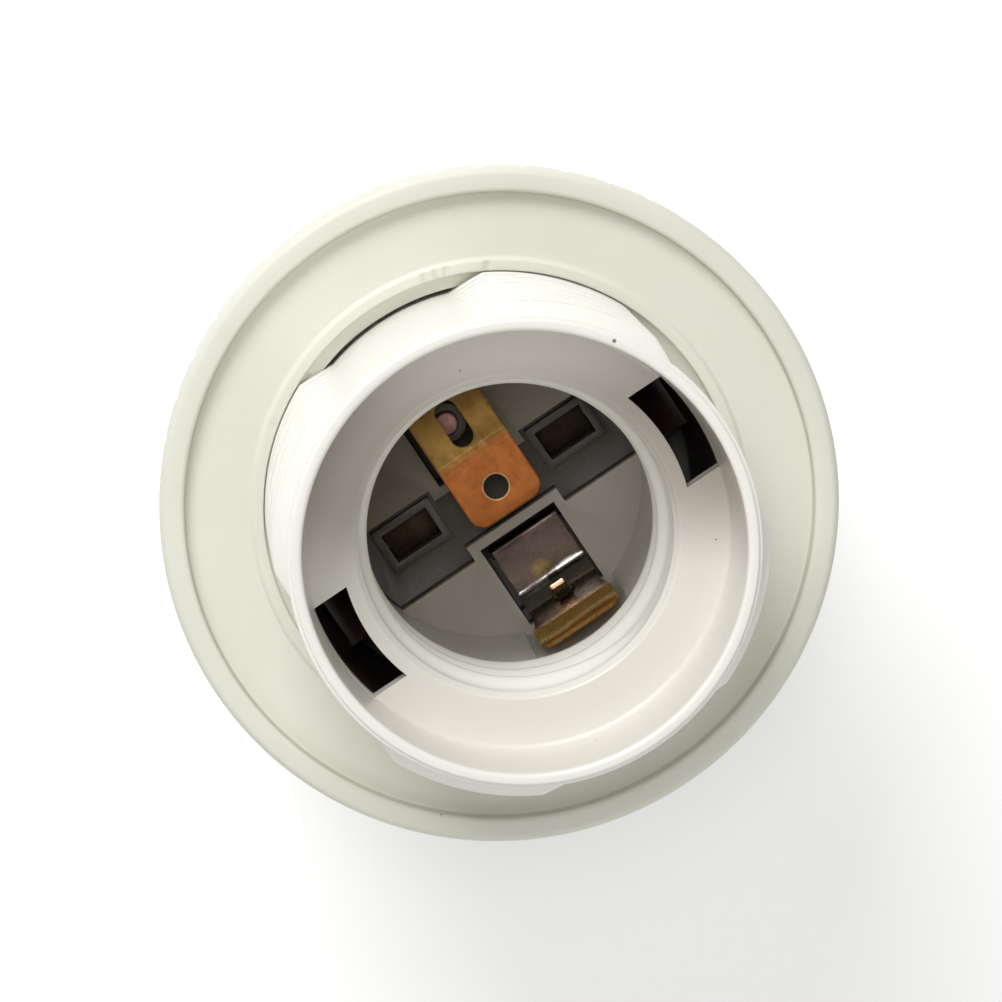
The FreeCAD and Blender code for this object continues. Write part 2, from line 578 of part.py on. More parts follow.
def make_centre_contact():
    """Sprung centre contact: a tab with a round hole, a slotted strip and a tail."""
    tab_z = CARRIER_TOP_Z + TAB_RISE
    root_z = CARRIER_TOP_Z + STRIP_ROOT_RISE
    path = [(TAB_END_Y, tab_z), (TAB_BEND_Y, tab_z), (STRIP_ROOT_Y, root_z),
            (STRIP_ROOT_Y, CARRIER_TOP_Z - STRIP_TAIL)]
    half = STRIP_WIDTH / 2
    x_range = (STRIP_X - half, STRIP_X + half)
    lower_path = [(y, z) for y, z in reversed(path)]
    strip = folded_sheet(lower_path, [BEND_R, BEND_R], SHEET, x_range)
    tab_corners = upright_edges(strip, (x_range[0] - 1, x_range[1] + 1), (TAB_END_Y - 0.1, TAB_END_Y + 0.1))
    strip = strip.makeFillet(TAB_CORNER_R, tab_corners)
    drill_z = (root_z - 2, tab_z + 1)
    slot = box((STRIP_X - STRIP_SLOT_R, STRIP_X + STRIP_SLOT_R),
               (STRIP_SLOT_Y[0] + STRIP_SLOT_R, STRIP_SLOT_Y[1] - STRIP_SLOT_R), drill_z)
    ends = [cylinder(STRIP_SLOT_R, drill_z, STRIP_X, STRIP_SLOT_Y[0] + STRIP_SLOT_R),
            cylinder(STRIP_SLOT_R, drill_z, STRIP_X, STRIP_SLOT_Y[1] - STRIP_SLOT_R)]
    hole = cylinder(TAB_HOLE_R, drill_z, STRIP_X, 0)
    return clean(strip.cut([slot.fuse(ends), hole]))


def make_side_contact():
    """Sprung side contact: a plate in its pocket, a step and an upright leaf with a rolled tip."""
    plate_z = CARRIER_TOP_Z - PLATE_DROP
    leaf_foot_z = CARRIER_TOP_Z
    leaf_top_z = leaf_foot_z + LEAF_HEIGHT
    path = [
        (PLATE_START_Y - SHEET, plate_z - PLATE_TAIL),
        (PLATE_START_Y - SHEET, plate_z),
        (PLATE_FOLD_Y, plate_z),
        (LEAF_FOOT_Y, leaf_foot_z),
        (LEAF_FOOT_Y, leaf_top_z),
        (LEAF_FOOT_Y - LEAF_TIP_OUT, leaf_top_z + LEAF_TIP_RISE),
    ]
    half = LEAF_TIP_WIDTH / 2
    sheet = folded_sheet(path, [BEND_R, BEND_R, BEND_R, 2.5], SHEET, (PLATE_X - half, PLATE_X + half))
    tip_z = leaf_top_z + LEAF_TIP_RISE
    narrow = PLATE_WIDTH / 2
    flare_z = leaf_foot_z + LEAF_HEIGHT * 0.6
    outline = []
    for side in (-1, 1):
        outer, inner = PLATE_X + side * (half + 1), PLATE_X + side * narrow
        tip = PLATE_X + side * half
        corners = [point(outer, 0, plate_z - PLATE_TAIL - 1), point(inner, 0, plate_z - PLATE_TAIL - 1),
                   point(inner, 0, flare_z), point(tip, 0, leaf_top_z),
                   point(tip, 0, tip_z + 1), point(outer, 0, tip_z + 1)]
        trim = Part.Face(Part.makePolygon(corners + [corners[0]])).extrude(point(0, -2 * CARRIER_R, 0))
        outline.append(trim)
    sheet = sheet.cut(outline)
    corner_z = tip_z - LEAF_CORNER_R
    for side in (-1, 1):
        centre_x = PLATE_X + side * (half - LEAF_CORNER_R)
        x_limits = sorted((centre_x, PLATE_X + side * (half + 1)))
        square = box(x_limits, (-CARRIER_R, LEAF_FOOT_Y + 1), (corner_z, tip_z + 1))
        round_r = Part.makeCylinder(LEAF_CORNER_R, CARRIER_R, point(centre_x, -CARRIER_R, corner_z),
                                    point(0, 1, 0))
        sheet = sheet.cut(square.cut(round_r))
    slit_z = (leaf_foot_z + 0.9, leaf_foot_z + 0.9 + LANCE_HEIGHT)
    slit = box((PLATE_X - LANCE_WIDTH / 2, PLATE_X + LANCE_WIDTH / 2),
               (LEAF_FOOT_Y - 2 * SHEET, LEAF_FOOT_Y + 2 * SHEET), slit_z)
    return clean(sheet.cut(slit))


def make_centre_rivet():
    """Rivet that holds the live bus strip, its head under the centre contact's slot."""
    shank_z = (CARRIER_BOTTOM_Z - BUS_THICKNESS, rivet_head_base())
    head_z = (rivet_head_base(), rivet_head_base() + RIVET_HEAD_HEIGHT)
    head = cylinder(RIVET_HEAD_R, head_z, RIVET_X, RIVET_Y)
    head = head.makeFillet(RIVET_HEAD_HEIGHT * 0.45, circle_edges(head, RIVET_HEAD_R, head_z[1]))
    return clean(cylinder(RIVET_R, shank_z, RIVET_X, RIVET_Y).fuse(head))


def bus_bar(start, end):
    """Return a flat bar with round ends under the carrier, between two (x, y) points."""
    z_range = (CARRIER_BOTTOM_Z - BUS_THICKNESS, CARRIER_BOTTOM_Z)
    run = point(end[0] - start[0], end[1] - start[1], 0)
    bar = box((0, run.Length), (-BUS_WIDTH / 2, BUS_WIDTH / 2), z_range)
    bar = turned(bar, math.degrees(math.atan2(run.y, run.x)))
    bar.translate(point(start[0], start[1], 0))
    ends = [cylinder(BUS_WIDTH / 2, z_range, *place) for place in (start, end)]
    wire_hole = cylinder(WIRE_HOLE_R, z_range, *end)
    return bar.fuse(ends).cut(wire_hole)


def make_live_bus_strip():
    """Brass strip from the rivet to the live terminal."""
    bar = bus_bar((RIVET_X, RIVET_Y), (-TERMINAL_X, TERMINAL_Y))
    rivet_hole = cylinder(RIVET_R + RIVET_FIT, (CARRIER_BOTTOM_Z - BUS_THICKNESS, CARRIER_BOTTOM_Z),
                          RIVET_X, RIVET_Y)
    return clean(bar.cut(rivet_hole))


def make_neutral_bus_strip():
    """Brass strip from the neutral terminal, folded up under the side contact's plate."""
    bar = bus_bar((PLATE_X, BUS_TAB_Y + BUS_THICKNESS / 2), (TERMINAL_X, TERMINAL_Y))
    top_z = CARRIER_TOP_Z - PLATE_DROP - SHEET - CONTACT_GAP
    half = BUS_TAB_WIDTH / 2
    tab = box((PLATE_X - half, PLATE_X + half), (BUS_TAB_Y, BUS_TAB_Y + BUS_THICKNESS),
              (CARRIER_BOTTOM_Z - BUS_THICKNESS, top_z))
    return clean(bar.fuse(tab))


def make_terminal_block(side):
    """Brass terminal block in its opening, with a wire hole and a screw hole."""
    x = side * TERMINAL_X
    half_x, half_y = TERMINAL_SIZE[0] / 2 - TERMINAL_FIT, TERMINAL_SIZE[1] / 2 - TERMINAL_FIT
    block_z = (CARRIER_BOTTOM_Z, CARRIER_BOTTOM_Z + TERMINAL_BLOCK_HEIGHT)
    block = box((x - half_x, x + half_x), (TERMINAL_Y - half_y, TERMINAL_Y + half_y), block_z)
    wire_hole = cylinder(WIRE_HOLE_R, (block_z[0], block_z[1] - 0.8), x, TERMINAL_Y)
    return clean(block.cut([wire_hole] + screw_holes(side)))


def make_terminal_screw(side):
    """Slotted screw that clamps the wire in its terminal."""
    z = screw_height()
    along = point(side, 0, 0)
    head_x = CARRIER_R - SCREW_HEAD_HEIGHT - SCREW_FIT
    shank = Part.makeCylinder(SCREW_R, head_x - TERMINAL_X - SCREW_FIT,
                              point(side * (TERMINAL_X + SCREW_FIT), TERMINAL_Y, z), along)
    head = Part.makeCylinder(SCREW_HEAD_R, SCREW_HEAD_HEIGHT, point(side * head_x, TERMINAL_Y, z), along)
    slot_x = sorted((side * (head_x + SCREW_HEAD_HEIGHT - SCREW_SLOT_DEPTH), side * CARRIER_R))
    slot = box(slot_x, (TERMINAL_Y - SCREW_SLOT_WIDTH / 2, TERMINAL_Y + SCREW_SLOT_WIDTH / 2),
               (z - SCREW_HEAD_R, z + SCREW_HEAD_R))
    return clean(shank.fuse(head).cut(slot))


def main():
    """Make every piece and write one STEP file for each."""
    pieces = {
        "front_sleeve": make_front_sleeve(),
        "rear_cap": make_rear_cap(),
        "neck_lock_screw": make_neck_lock_screw(),
        "shade_ring": make_shade_ring(),
        "contact_carrier": make_contact_carrier(),
        "centre_contact": make_centre_contact(),
        "side_contact": make_side_contact(),
        "centre_rivet": make_centre_rivet(),
        "live_bus_strip": make_live_bus_strip(),
        "neutral_bus_strip": make_neutral_bus_strip(),
        "live_terminal_block": make_terminal_block(-1),
        "neutral_terminal_block": make_terminal_block(1),
        "live_terminal_screw": make_terminal_screw(-1),
        "neutral_terminal_screw": make_terminal_screw(1),
    }
    os.makedirs("parts", exist_ok=True)
    for name, shape in pieces.items():
        shape.exportStep(f"parts/{name}.step")
        print(name, "valid", shape.isValid(), "solids", len(shape.Solids), "volume", round(shape.Volume, 1))


main()
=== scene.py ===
"""Looks of a screw-cap lamp holder with a threaded skirt and a shade ring.

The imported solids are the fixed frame. Each class below dresses one sub-assembly: it takes its
levels from the frame, works its surfaces out as arrays, and rides them on the bodies. Sizes in
the classes are millimetres; meshes are metres.
"""
import logging
import math
from dataclasses import dataclass
from enum import Enum
from functools import cached_property
from typing import Callable, Optional, Sequence, Union

import bmesh
import bpy
import numpy as np
from mathutils import Matrix, Vector
from mathutils.geometry import delaunay_2d_cdt


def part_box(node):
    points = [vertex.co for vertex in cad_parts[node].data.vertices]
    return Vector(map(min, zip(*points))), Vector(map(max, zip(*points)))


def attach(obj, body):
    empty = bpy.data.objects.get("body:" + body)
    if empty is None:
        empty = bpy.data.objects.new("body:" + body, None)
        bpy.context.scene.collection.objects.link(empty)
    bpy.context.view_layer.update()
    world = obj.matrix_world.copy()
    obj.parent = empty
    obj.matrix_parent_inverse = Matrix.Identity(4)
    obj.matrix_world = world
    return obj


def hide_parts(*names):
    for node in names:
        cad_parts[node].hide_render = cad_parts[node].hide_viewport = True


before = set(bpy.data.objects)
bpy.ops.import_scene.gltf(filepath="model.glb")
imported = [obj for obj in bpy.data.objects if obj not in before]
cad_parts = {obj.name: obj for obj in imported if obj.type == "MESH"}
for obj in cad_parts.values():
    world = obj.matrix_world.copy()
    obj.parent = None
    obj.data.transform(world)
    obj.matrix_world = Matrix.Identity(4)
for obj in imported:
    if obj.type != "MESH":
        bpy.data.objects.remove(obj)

LOG = logging.getLogger("lamp_holder")
MM = 0.001
FULL_TURN = 2.0 * math.pi
SEED = 27
CREASE = 35.0                   # degrees; sharper edges are shaded sharp
MERGE = 0.001                   # closer points of a solid's mesh are one
FLAT = 1.0                      # degrees; faces of a solid that meet flatter are one

Array = np.ndarray
Arrays = tuple[Array, Array]
Material = bpy.types.Material
Piece = bpy.types.Object
Pair = tuple[float, float]
Triple = tuple[float, float, float]
Colour = Triple                 # red, green and blue
Stops = tuple[tuple[float, Colour], ...]
Entry = Union["Value", float]   # what a node's socket takes
Tone = Union["Value", Colour]   # a colour, worked out or plain


class Body(str, Enum):
    """Bodies of the frame that pieces ride on."""

    HOLDER = "holder"
    RING = "ring"
    CENTRE_SPRING = "centre_spring"
    SIDE_SPRING = "side_spring"


# ---- Shader maths ----


class Value:
    """One output socket of a node tree, with arithmetic that adds Math nodes."""

    def __init__(self, graph: "Graph", socket: bpy.types.NodeSocket) -> None:
        """Keep the tree and the socket."""
        self.graph = graph
        self.socket = socket

    def math(self, operation: str, *others: Entry, clamp: bool = False) -> "Value":
        """Return a Math node's result, held between 0 and 1 if it is clamped."""
        inputs = dict(enumerate((self, *others)))
        return self.graph.node("Math", {"operation": operation, "use_clamp": clamp}, inputs)

    def __add__(self, other: Entry) -> "Value":
        """Return the sum."""
        return self.math("ADD", other)

    def __sub__(self, other: Entry) -> "Value":
        """Return the difference."""
        return self.math("SUBTRACT", other)

    def __rsub__(self, other: float) -> "Value":
        """Return a number less this value."""
        return self.math("MULTIPLY_ADD", -1.0, other)

    def __mul__(self, other: Entry) -> "Value":
        """Return the product."""
        return self.math("MULTIPLY", other)

    __radd__ = __add__
    __rmul__ = __mul__

    def hypot(self, other: "Value") -> "Value":
        """Return the root of the sum of both squares."""
        return (self * self + other * other).math("SQRT")

    def rise(self, low: float, high: float) -> "Value":
        """Return 0 below low, 1 above high and a smooth rise between."""
        inputs = {"Value": self, "From Min": low, "From Max": high}
        return self.graph.node("MapRange", {"interpolation_type": "SMOOTHSTEP"}, inputs, "Result")

    def band(self, low: float, high: float, edge: float) -> "Value":
        """Return 1 between two limits and 0 outside them, with soft edges."""
        return self.rise(low - edge, low + edge) * (1.0 - self.rise(high - edge, high + edge))


class Graph:
    """A node tree whose nodes all come from one method."""

    def __init__(self, tree: bpy.types.NodeTree) -> None:
        """Empty the tree and keep it."""
        tree.nodes.clear()
        self.tree = tree

    def node(self, kind: str, settings: Optional[dict] = None, inputs: Optional[dict] = None,
             result: Union[str, int] = 0) -> Value:
        """Add a node.

        Args:
            kind: the node's type without its ShaderNode prefix.
            settings: attributes that are set first, or a ramp's stops.
            inputs: values or links of its sockets, by name or index.
            result: the output that is returned.

        Returns:
            The chosen output.
        """
        node = self.tree.nodes.new("ShaderNode" + kind)
        for key, setting in (settings or {}).items():
            if key == "stops":
                elements = node.color_ramp.elements
                while len(elements) < len(setting):
                    elements.new(1.0)
                for element, (position, colour) in zip(elements, setting):
                    element.position = position
                    element.color = (*colour, 1.0)
            else:
                setattr(node, key, setting)
        for key, entry in (inputs or {}).items():
            if isinstance(entry, Value):
                self.tree.links.new(entry.socket, node.inputs[key])
            else:
                node.inputs[key].default_value = entry
        return Value(self, node.outputs[result])

    def show(self, kind: str, surface: Value) -> None:
        """Link a shader to a new output node of a kind."""
        output = self.tree.nodes.new("ShaderNodeOutput" + kind)
        self.tree.links.new(surface.socket, output.inputs["Surface"])

    def seen(self) -> Value:
        """Return 1 for rays that show a thing to the camera, in gloss or through glass too."""
        camera, glossy, passing = (self.node("LightPath", result=f"Is {ray} Ray")
                                   for ray in ("Camera", "Glossy", "Transmission"))
        return (camera + glossy).math("ADD", passing, clamp=True)


class Shader(Graph):
    """One material's tree, with the colour that its layers have come to."""

    def __init__(self, name: str, colour: Colour) -> None:
        """Make the material and start from a plain colour."""
        self.material = bpy.data.materials.new(name)
        self.material.use_nodes = True
        super().__init__(self.material.node_tree)
        self.colour: Tone = colour

    @cached_property
    def place(self) -> Value:
        """Object coordinates in millimetres."""
        metres = self.node("TexCoord", result="Object")
        return self.node("VectorMath", {"operation": "SCALE"}, {0: metres, "Scale": 1.0 / MM})

    def axes(self) -> tuple[Value, ...]:
        """Return x, y and z in millimetres."""
        return tuple(self.node("SeparateXYZ", None, {0: self.place}, axis) for axis in "XYZ")

    def attribute(self, key: str) -> Value:
        """Return a number that the mesh carries at each point."""
        return self.node("Attribute", {"attribute_name": key}, result="Fac")

    def noise(self, scale: float, detail: float = 3.0, roughness: float = 0.5,
              stretch: Optional[Triple] = None) -> Value:
        """Return noise of a scale per millimetre, from 0 to 1, on coordinates that may be stretched."""
        place = self.place
        if stretch:
            place = self.node("VectorMath", {"operation": "MULTIPLY"}, {0: place, 1: stretch})
        inputs = {"Vector": place, "Scale": scale, "Detail": detail, "Roughness": roughness}
        return self.node("TexNoise", None, inputs, "Fac")

    def mix(self, share: Entry, low: Tone, high: Tone) -> Value:
        """Return a blend of two tones that holds a share of the second."""
        low, high = (tone if isinstance(tone, Value) else (*tone, 1.0) for tone in (low, high))
        return self.node("Mix", {"data_type": "RGBA"}, {0: share, 6: low, 7: high}, 2)

    def paint(self, share: Entry, tone: Tone) -> None:
        """Lay a share of a tone over the colour."""
        self.colour = self.mix(share, self.colour, tone)

    def relief(self, *layers: tuple[Value, float, float]) -> Value:
        """Return a normal bent by layers of height from 0 to 1, depth in millimetres and strength."""
        under: dict = {}
        for height, depth, strength in layers:
            inputs = {"Height": height, "Distance": depth * MM, "Strength": strength, **under}
            under = {"Normal": self.node("Bump", None, inputs, "Normal")}
        return under["Normal"]

    def principled(self, **sockets: Union[Value, float, tuple]) -> Material:
        """Return the material with a Principled shader, whose sockets are named with underscores."""
        inputs = {key.replace("_", " "): entry for key, entry in sockets.items()}
        self.show("Material", self.node("BsdfPrincipled", None, inputs))
        return self.material


# ---- Finishes ----


@dataclass(frozen=True)
class Finish:
    """A finish that builds its own material."""

    name: str

    def wear(self, shader: Shader) -> None:
        """Lay on what one kind of piece alone shows."""

    def build(self) -> Material:
        """Return the material."""
        raise NotImplementedError


@dataclass(frozen=True)
class MouldedPlastic(Finish):
    """Moulded thermoplastic: an even colour with faint clouding, mould texture and dust specks."""

    colour: Colour
    cloud: Colour
    roughness: float
    specks: float
    grain_depth: float = 0.004
    coat: float = 0.0
    glow: float = 0.0
    bloom: Colour = (0.62, 0.60, 0.55)
    dust: Colour = (0.16, 0.15, 0.15)

    def build(self) -> Material:
        """Return the material."""
        shader = Shader(self.name, self.colour)
        shader.paint(shader.noise(0.12, 4.0, 0.6).rise(0.35, 0.7) * 0.55, self.cloud)
        self.wear(shader)
        shader.paint(shader.noise(2.2, 5.0, 0.65).rise(0.55, 0.8) * 0.12, self.bloom)
        dots = shader.node("TexVoronoi", None, {"Vector": shader.place, "Scale": 0.16}, "Distance")
        chosen = shader.noise(0.05, 1.0).rise(0.5, 0.58)
        shader.paint((1.0 - dots.rise(0.012, 0.032)) * chosen * self.specks, self.dust)
        scuff = shader.noise(0.9, 6.0, 0.7, (1.0, 0.25, 0.6)).rise(0.5, 0.75)
        grain, waves = shader.noise(9.0), shader.noise(0.45, 2.0)
        normal = shader.relief((grain, self.grain_depth, 0.6), (waves, 0.03, 0.5))
        return shader.principled(Base_Color=shader.colour, Roughness=scuff * 0.14 + self.roughness,
                                 Normal=normal, IOR=1.49, Coat_Weight=self.coat, Coat_Roughness=0.18,
                                 Subsurface_Weight=self.glow, Subsurface_Radius=(1.0, 0.95, 0.85),
                                 Subsurface_Scale=0.6 * MM)


@dataclass(frozen=True)
class SleevePlastic(MouldedPlastic):
    """Plastic with a cup painted darker and yellower than the skirt, painted shade on two sides of the cup
    and behind the windows, and single specks.
    """

    # The cup's tone, darker and yellower than the skirt; its darkness is painted shade of the recess.
    cup: Colour = (0.74, 0.72, 0.66)
    # Painted shade on two sides of the cup, across the light's direction.
    painted_cup_shade: Colour = (0.47, 0.435, 0.38)
    cup_r: float = 18.45
    cup_z: tuple[Pair, Pair] = ((50.5, 52.0), (60.6, 61.3))     # where it begins and where it ends
    painted_shade_azimuth: float = 59.0
    # Near-black brown painted between the tube and the skirt: painted shade seen through the windows.
    painted_hollow_shade: Colour = (0.095, 0.054, 0.040)
    painted_hollow_shade_r: Pair = (14.8, 18.25)
    painted_hollow_shade_z: Pair = (22.0, 50.2)
    mark: Colour = (0.17, 0.155, 0.15)
    marks: tuple[tuple[float, float, float, float], ...] = (  # azimuth, radius, height and size
        (34.0, 18.95, 61.4, 0.22), (-102.5, 18.25, 54.2, 0.16), (-100.8, 18.25, 54.4, 0.12),
        (-51.0, 18.35, 57.0, 0.14), (108.5, 17.4, 52.0, 0.14), (-96.0, 13.5, 46.0, 0.12),
        (-70.0, 13.4, 47.5, 0.13), (75.0, 14.9, 52.0, 0.10), (-35.0, 16.8, 52.0, 0.10))

    def wear(self, shader: Shader) -> None:
        """Paint the cup darker and yellower with its painted shade, paint shade behind the windows and set
        the specks.
        """
        x, y, z = shader.axes()
        away = x.hypot(y)
        floor, mouth = (z.rise(*place) for place in self.cup_z)
        within = (1.0 - away.rise(self.cup_r - 0.15, self.cup_r + 0.15)) * floor * (1.0 - mouth)
        # Painted shade: the cup darkens on two sides, across the direction of the light.
        turn = math.radians(self.painted_shade_azimuth)
        side = x * (math.cos(turn) / self.cup_r) + y * (math.sin(turn) / self.cup_r)
        shader.paint(within, shader.mix(side.band(0.0, 0.74, 0.24), self.cup, self.painted_cup_shade))
        # Painted shade behind the windows.
        shader.paint(away.band(*self.painted_hollow_shade_r, 0.05) * z.band(*self.painted_hollow_shade_z, 0.2), self.painted_hollow_shade)
        for azimuth, r, height, size in self.marks:
            turn = math.radians(azimuth)
            inputs = {0: shader.place, 1: (r * math.cos(turn), r * math.sin(turn), height)}
            near = shader.node("VectorMath", {"operation": "DISTANCE"}, inputs, "Value")
            shader.paint(1.0 - near.rise(size * 0.5, size), self.mark)


@dataclass(frozen=True)
class RingPlastic(MouldedPlastic):
    """Plastic with a painted shade line along the foot of the raised band."""

    foot_r: Pair = (27.54, 27.72)
    painted_foot_shade_z: Pair = (31.0, 32.0)
    painted_foot_shade: Colour = (0.30, 0.275, 0.21)

    def wear(self, shader: Shader) -> None:
        """Draw the painted shade line."""
        x, y, z = shader.axes()
        # Painted shade: a dark line where the raised band meets the face.
        shader.paint(x.hypot(y).band(*self.foot_r, 0.08) * z.rise(*self.painted_foot_shade_z) * 0.4, self.painted_foot_shade)


@dataclass(frozen=True)
class CarrierPlastic(MouldedPlastic):
    """Plastic with painted shade towards one side and in its pockets."""

    # Painted shade of the far side.
    painted_far_side_shade: Colour = (0.17, 0.145, 0.095)
    # Near-black painted shade below the carrier's top, in the channel and pockets.
    painted_pocket_shade: Colour = (0.062, 0.046, 0.034)
    painted_pocket_shade_z: Pair = (18.2, 19.65)
    painted_pocket_shade_share: float = 0.93

    def wear(self, shader: Shader) -> None:
        """Paint shade on the far side and in the pockets."""
        x, y, z = shader.axes()
        # Painted shade: darker towards the far side of the chamber.
        shader.paint((y - x * 0.35).rise(-11.0, 9.0), self.painted_far_side_shade)
        # Painted shade: below the carrier's top nearly black.
        shader.paint((1.0 - z.rise(*self.painted_pocket_shade_z)) * self.painted_pocket_shade_share, self.painted_pocket_shade)


@dataclass(frozen=True)
class Brass(Finish):
    """Rolled brass sheet with rolling lines, tarnish and stains."""

    bright: Colour
    tarnish: Colour
    stain: Colour
    roughness: float = 0.3

    def build(self) -> Material:
        """Return the material."""
        shader = Shader(self.name, self.bright)
        lines = shader.noise(1.6, 5.0, 0.7, (4.0, 0.35, 1.0))
        patches = shader.noise(0.35, 4.0, 0.62).rise(0.36, 0.66)
        shader.paint(patches * 0.6, self.tarnish)
        shader.paint(shader.noise(1.3, 3.0, 0.6).rise(0.58, 0.72) * 0.45, self.stain)
        self.wear(shader)
        shader.paint(lines.rise(0.45, 0.8) * 0.25, self.stain)
        normal = shader.relief((lines, 0.004, 0.8), (shader.noise(0.5, 2.0), 0.04, 0.5))
        return shader.principled(Base_Color=shader.colour, Metallic=1.0, Normal=normal,
                                 Roughness=lines * 0.16 + patches * 0.12 + self.roughness)


@dataclass(frozen=True)
class StripBrass(Brass):
    """Brass whose tab is copper-coloured, with painted shade and a painted highlight along its fold and a
    painted highlight round its hole.
    """

    copper: tuple[Colour, Colour] = ((0.42, 0.135, 0.036), (0.34, 0.104, 0.028))
    # Painted shade and a painted highlight: a dark and a light line along the tab's fold.
    painted_fold_shade_and_highlight: Stops = ((3.45, (0.20, 0.10, 0.03)), (4.15, (0.42, 0.27, 0.10)))
    copper_y: Pair = (3.3, 4.1)
    hole_x: float = 0.5
    hole_r: Pair = (1.15, 1.27)
    # Painted highlight round the hole's edge.
    painted_hole_highlight: Colour = (0.66, 0.50, 0.28)

    def wear(self, shader: Shader) -> None:
        """Colour the tab copper, paint shade and a highlight along its fold and paint a highlight round the
        hole's edge.
        """
        x, y, _ = shader.axes()
        wander = (shader.noise(0.6) - 0.5) * 0.5
        mottle = shader.noise(1.1, 5.0, 0.65).rise(0.35, 0.7)
        shader.paint((1.0 - (y + wander).rise(*self.copper_y)) * 0.92, shader.mix(mottle, *self.copper))
        # Painted shade and painted highlight along the fold.
        for place, tone in self.painted_fold_shade_and_highlight:
            shader.paint((y + wander * 0.5).band(place - 0.09, place + 0.09, 0.07) * 0.35, tone)
        # Painted highlight round the hole.
        shader.paint((x - self.hole_x).hypot(y).band(*self.hole_r, 0.05) * 0.55, self.painted_hole_highlight)


@dataclass(frozen=True)
class SprungLeaf(Finish):
    """Spring bronze whose tarnish changes from fold to fold along the sheet, with painted shade and painted
    highlights at its bends and its rolled tip.

    The mesh carries each point's distance along and across the flat sheet in millimetres.
    """

    length: float = 24.0
    # Colours along the sheet in millimetres: tarnish, with painted shade at the top bend (2.9) and under the
    # rolled tip (22.6), and painted highlights at the plate's end (7.5 to 7.9) and on the rolled tip (22.1).
    tones_with_painted_light: Stops = (
        (2.9, (0.030, 0.022, 0.018)), (3.25, (0.100, 0.068, 0.058)), (6.0, (0.160, 0.122, 0.105)),
        (7.2, (0.105, 0.080, 0.070)), (7.5, (0.90, 0.88, 0.84)), (7.9, (0.70, 0.68, 0.64)),
        (8.2, (0.150, 0.140, 0.120)), (9.7, (0.190, 0.170, 0.130)), (10.0, (0.42, 0.37, 0.24)),
        (10.4, (0.085, 0.050, 0.028)), (18.0, (0.105, 0.056, 0.024)), (18.9, (0.62, 0.40, 0.12)),
        (21.4, (0.60, 0.37, 0.10)), (22.1, (1.00, 0.78, 0.36)), (22.6, (0.42, 0.21, 0.05)))
    tongue: tuple[tuple[float, float, float, Colour], ...] = (      # start, end, soft edge and tone
        (10.9, 12.2, 0.15, (0.20, 0.15, 0.06)), (12.2, 13.25, 0.1, (0.95, 0.60, 0.40)))
    tongue_x: Pair = (-0.62, 0.92)
    crease_x: Pair = (-0.3, 0.8)
    crease: Pair = (7.2, 8.3)
    ledge: Pair = (8.2, 10.3)
    tip: Pair = (17.5, 19.0)
    spot: Pair = (-0.3, 6.5)
    dull: Colour = (0.10, 0.08, 0.07)
    yellow: Colour = (0.36, 0.26, 0.095)
    stain: Colour = (0.06, 0.045, 0.035)
    roughness: float = 0.27

    def build(self) -> Material:
        """Return the material."""
        shader = Shader(self.name, self.dull)
        along, across = shader.attribute("along"), shader.attribute("across")
        wander = (shader.noise(0.7, 3.0, 0.6) - 0.5) * 0.5 + (across * 0.9).math("SINE") * 0.2
        stops = [(place / self.length, tone) for place, tone in self.tones_with_painted_light]
        share = (along + wander) * (1.0 / self.length)
        shader.colour = shader.node("ValToRGB", {"stops": stops}, {"Fac": share}, "Color")
        # Dims the painted highlight at the plate's end in the middle of the fold.
        shader.paint(across.band(*self.crease_x, 0.15) * along.band(*self.crease, 0.1) * 0.8, self.dull)
        away = (across - self.spot[0]).hypot((along - self.spot[1]) * 1.4)
        shader.paint((1.0 - away.rise(0.3, 1.4)) * 0.75, self.yellow)
        for start, end, edge, tone in self.tongue:
            shader.paint(across.band(*self.tongue_x, 0.05) * along.band(start, end, edge), tone)
        tip = along.rise(*self.tip)
        stains = shader.noise(1.0, 4.0, 0.6).rise(0.5, 0.75) * (1.0 - tip * 0.75)
        shader.paint(stains * 0.35, self.stain)
        metal = 1.0 - along.band(*self.ledge, 0.15) * 0.65 - tip * 0.45
        return shader.principled(Base_Color=shader.colour, Metallic=metal,
                                 Roughness=stains * 0.15 + self.roughness,
                                 Normal=shader.relief((shader.noise(0.6, 2.0), 0.05, 0.5)))


@dataclass(frozen=True)
class PlatedSteel(Finish):
    """Zinc-plated steel of the small screws."""

    colour: Colour = (0.62, 0.63, 0.63)
    worn: Colour = (0.42, 0.41, 0.38)
    roughness: float = 0.3

    def build(self) -> Material:
        """Return the material."""
        shader = Shader(self.name, self.colour)
        dull = shader.noise(1.1, 4.0, 0.6).rise(0.4, 0.7)
        shader.paint(dull * 0.6, self.worn)
        return shader.principled(Base_Color=shader.colour, Metallic=1.0,
                                 Roughness=dull * 0.2 + self.roughness,
                                 Normal=shader.relief((shader.noise(5.0), 0.004, 0.6)))


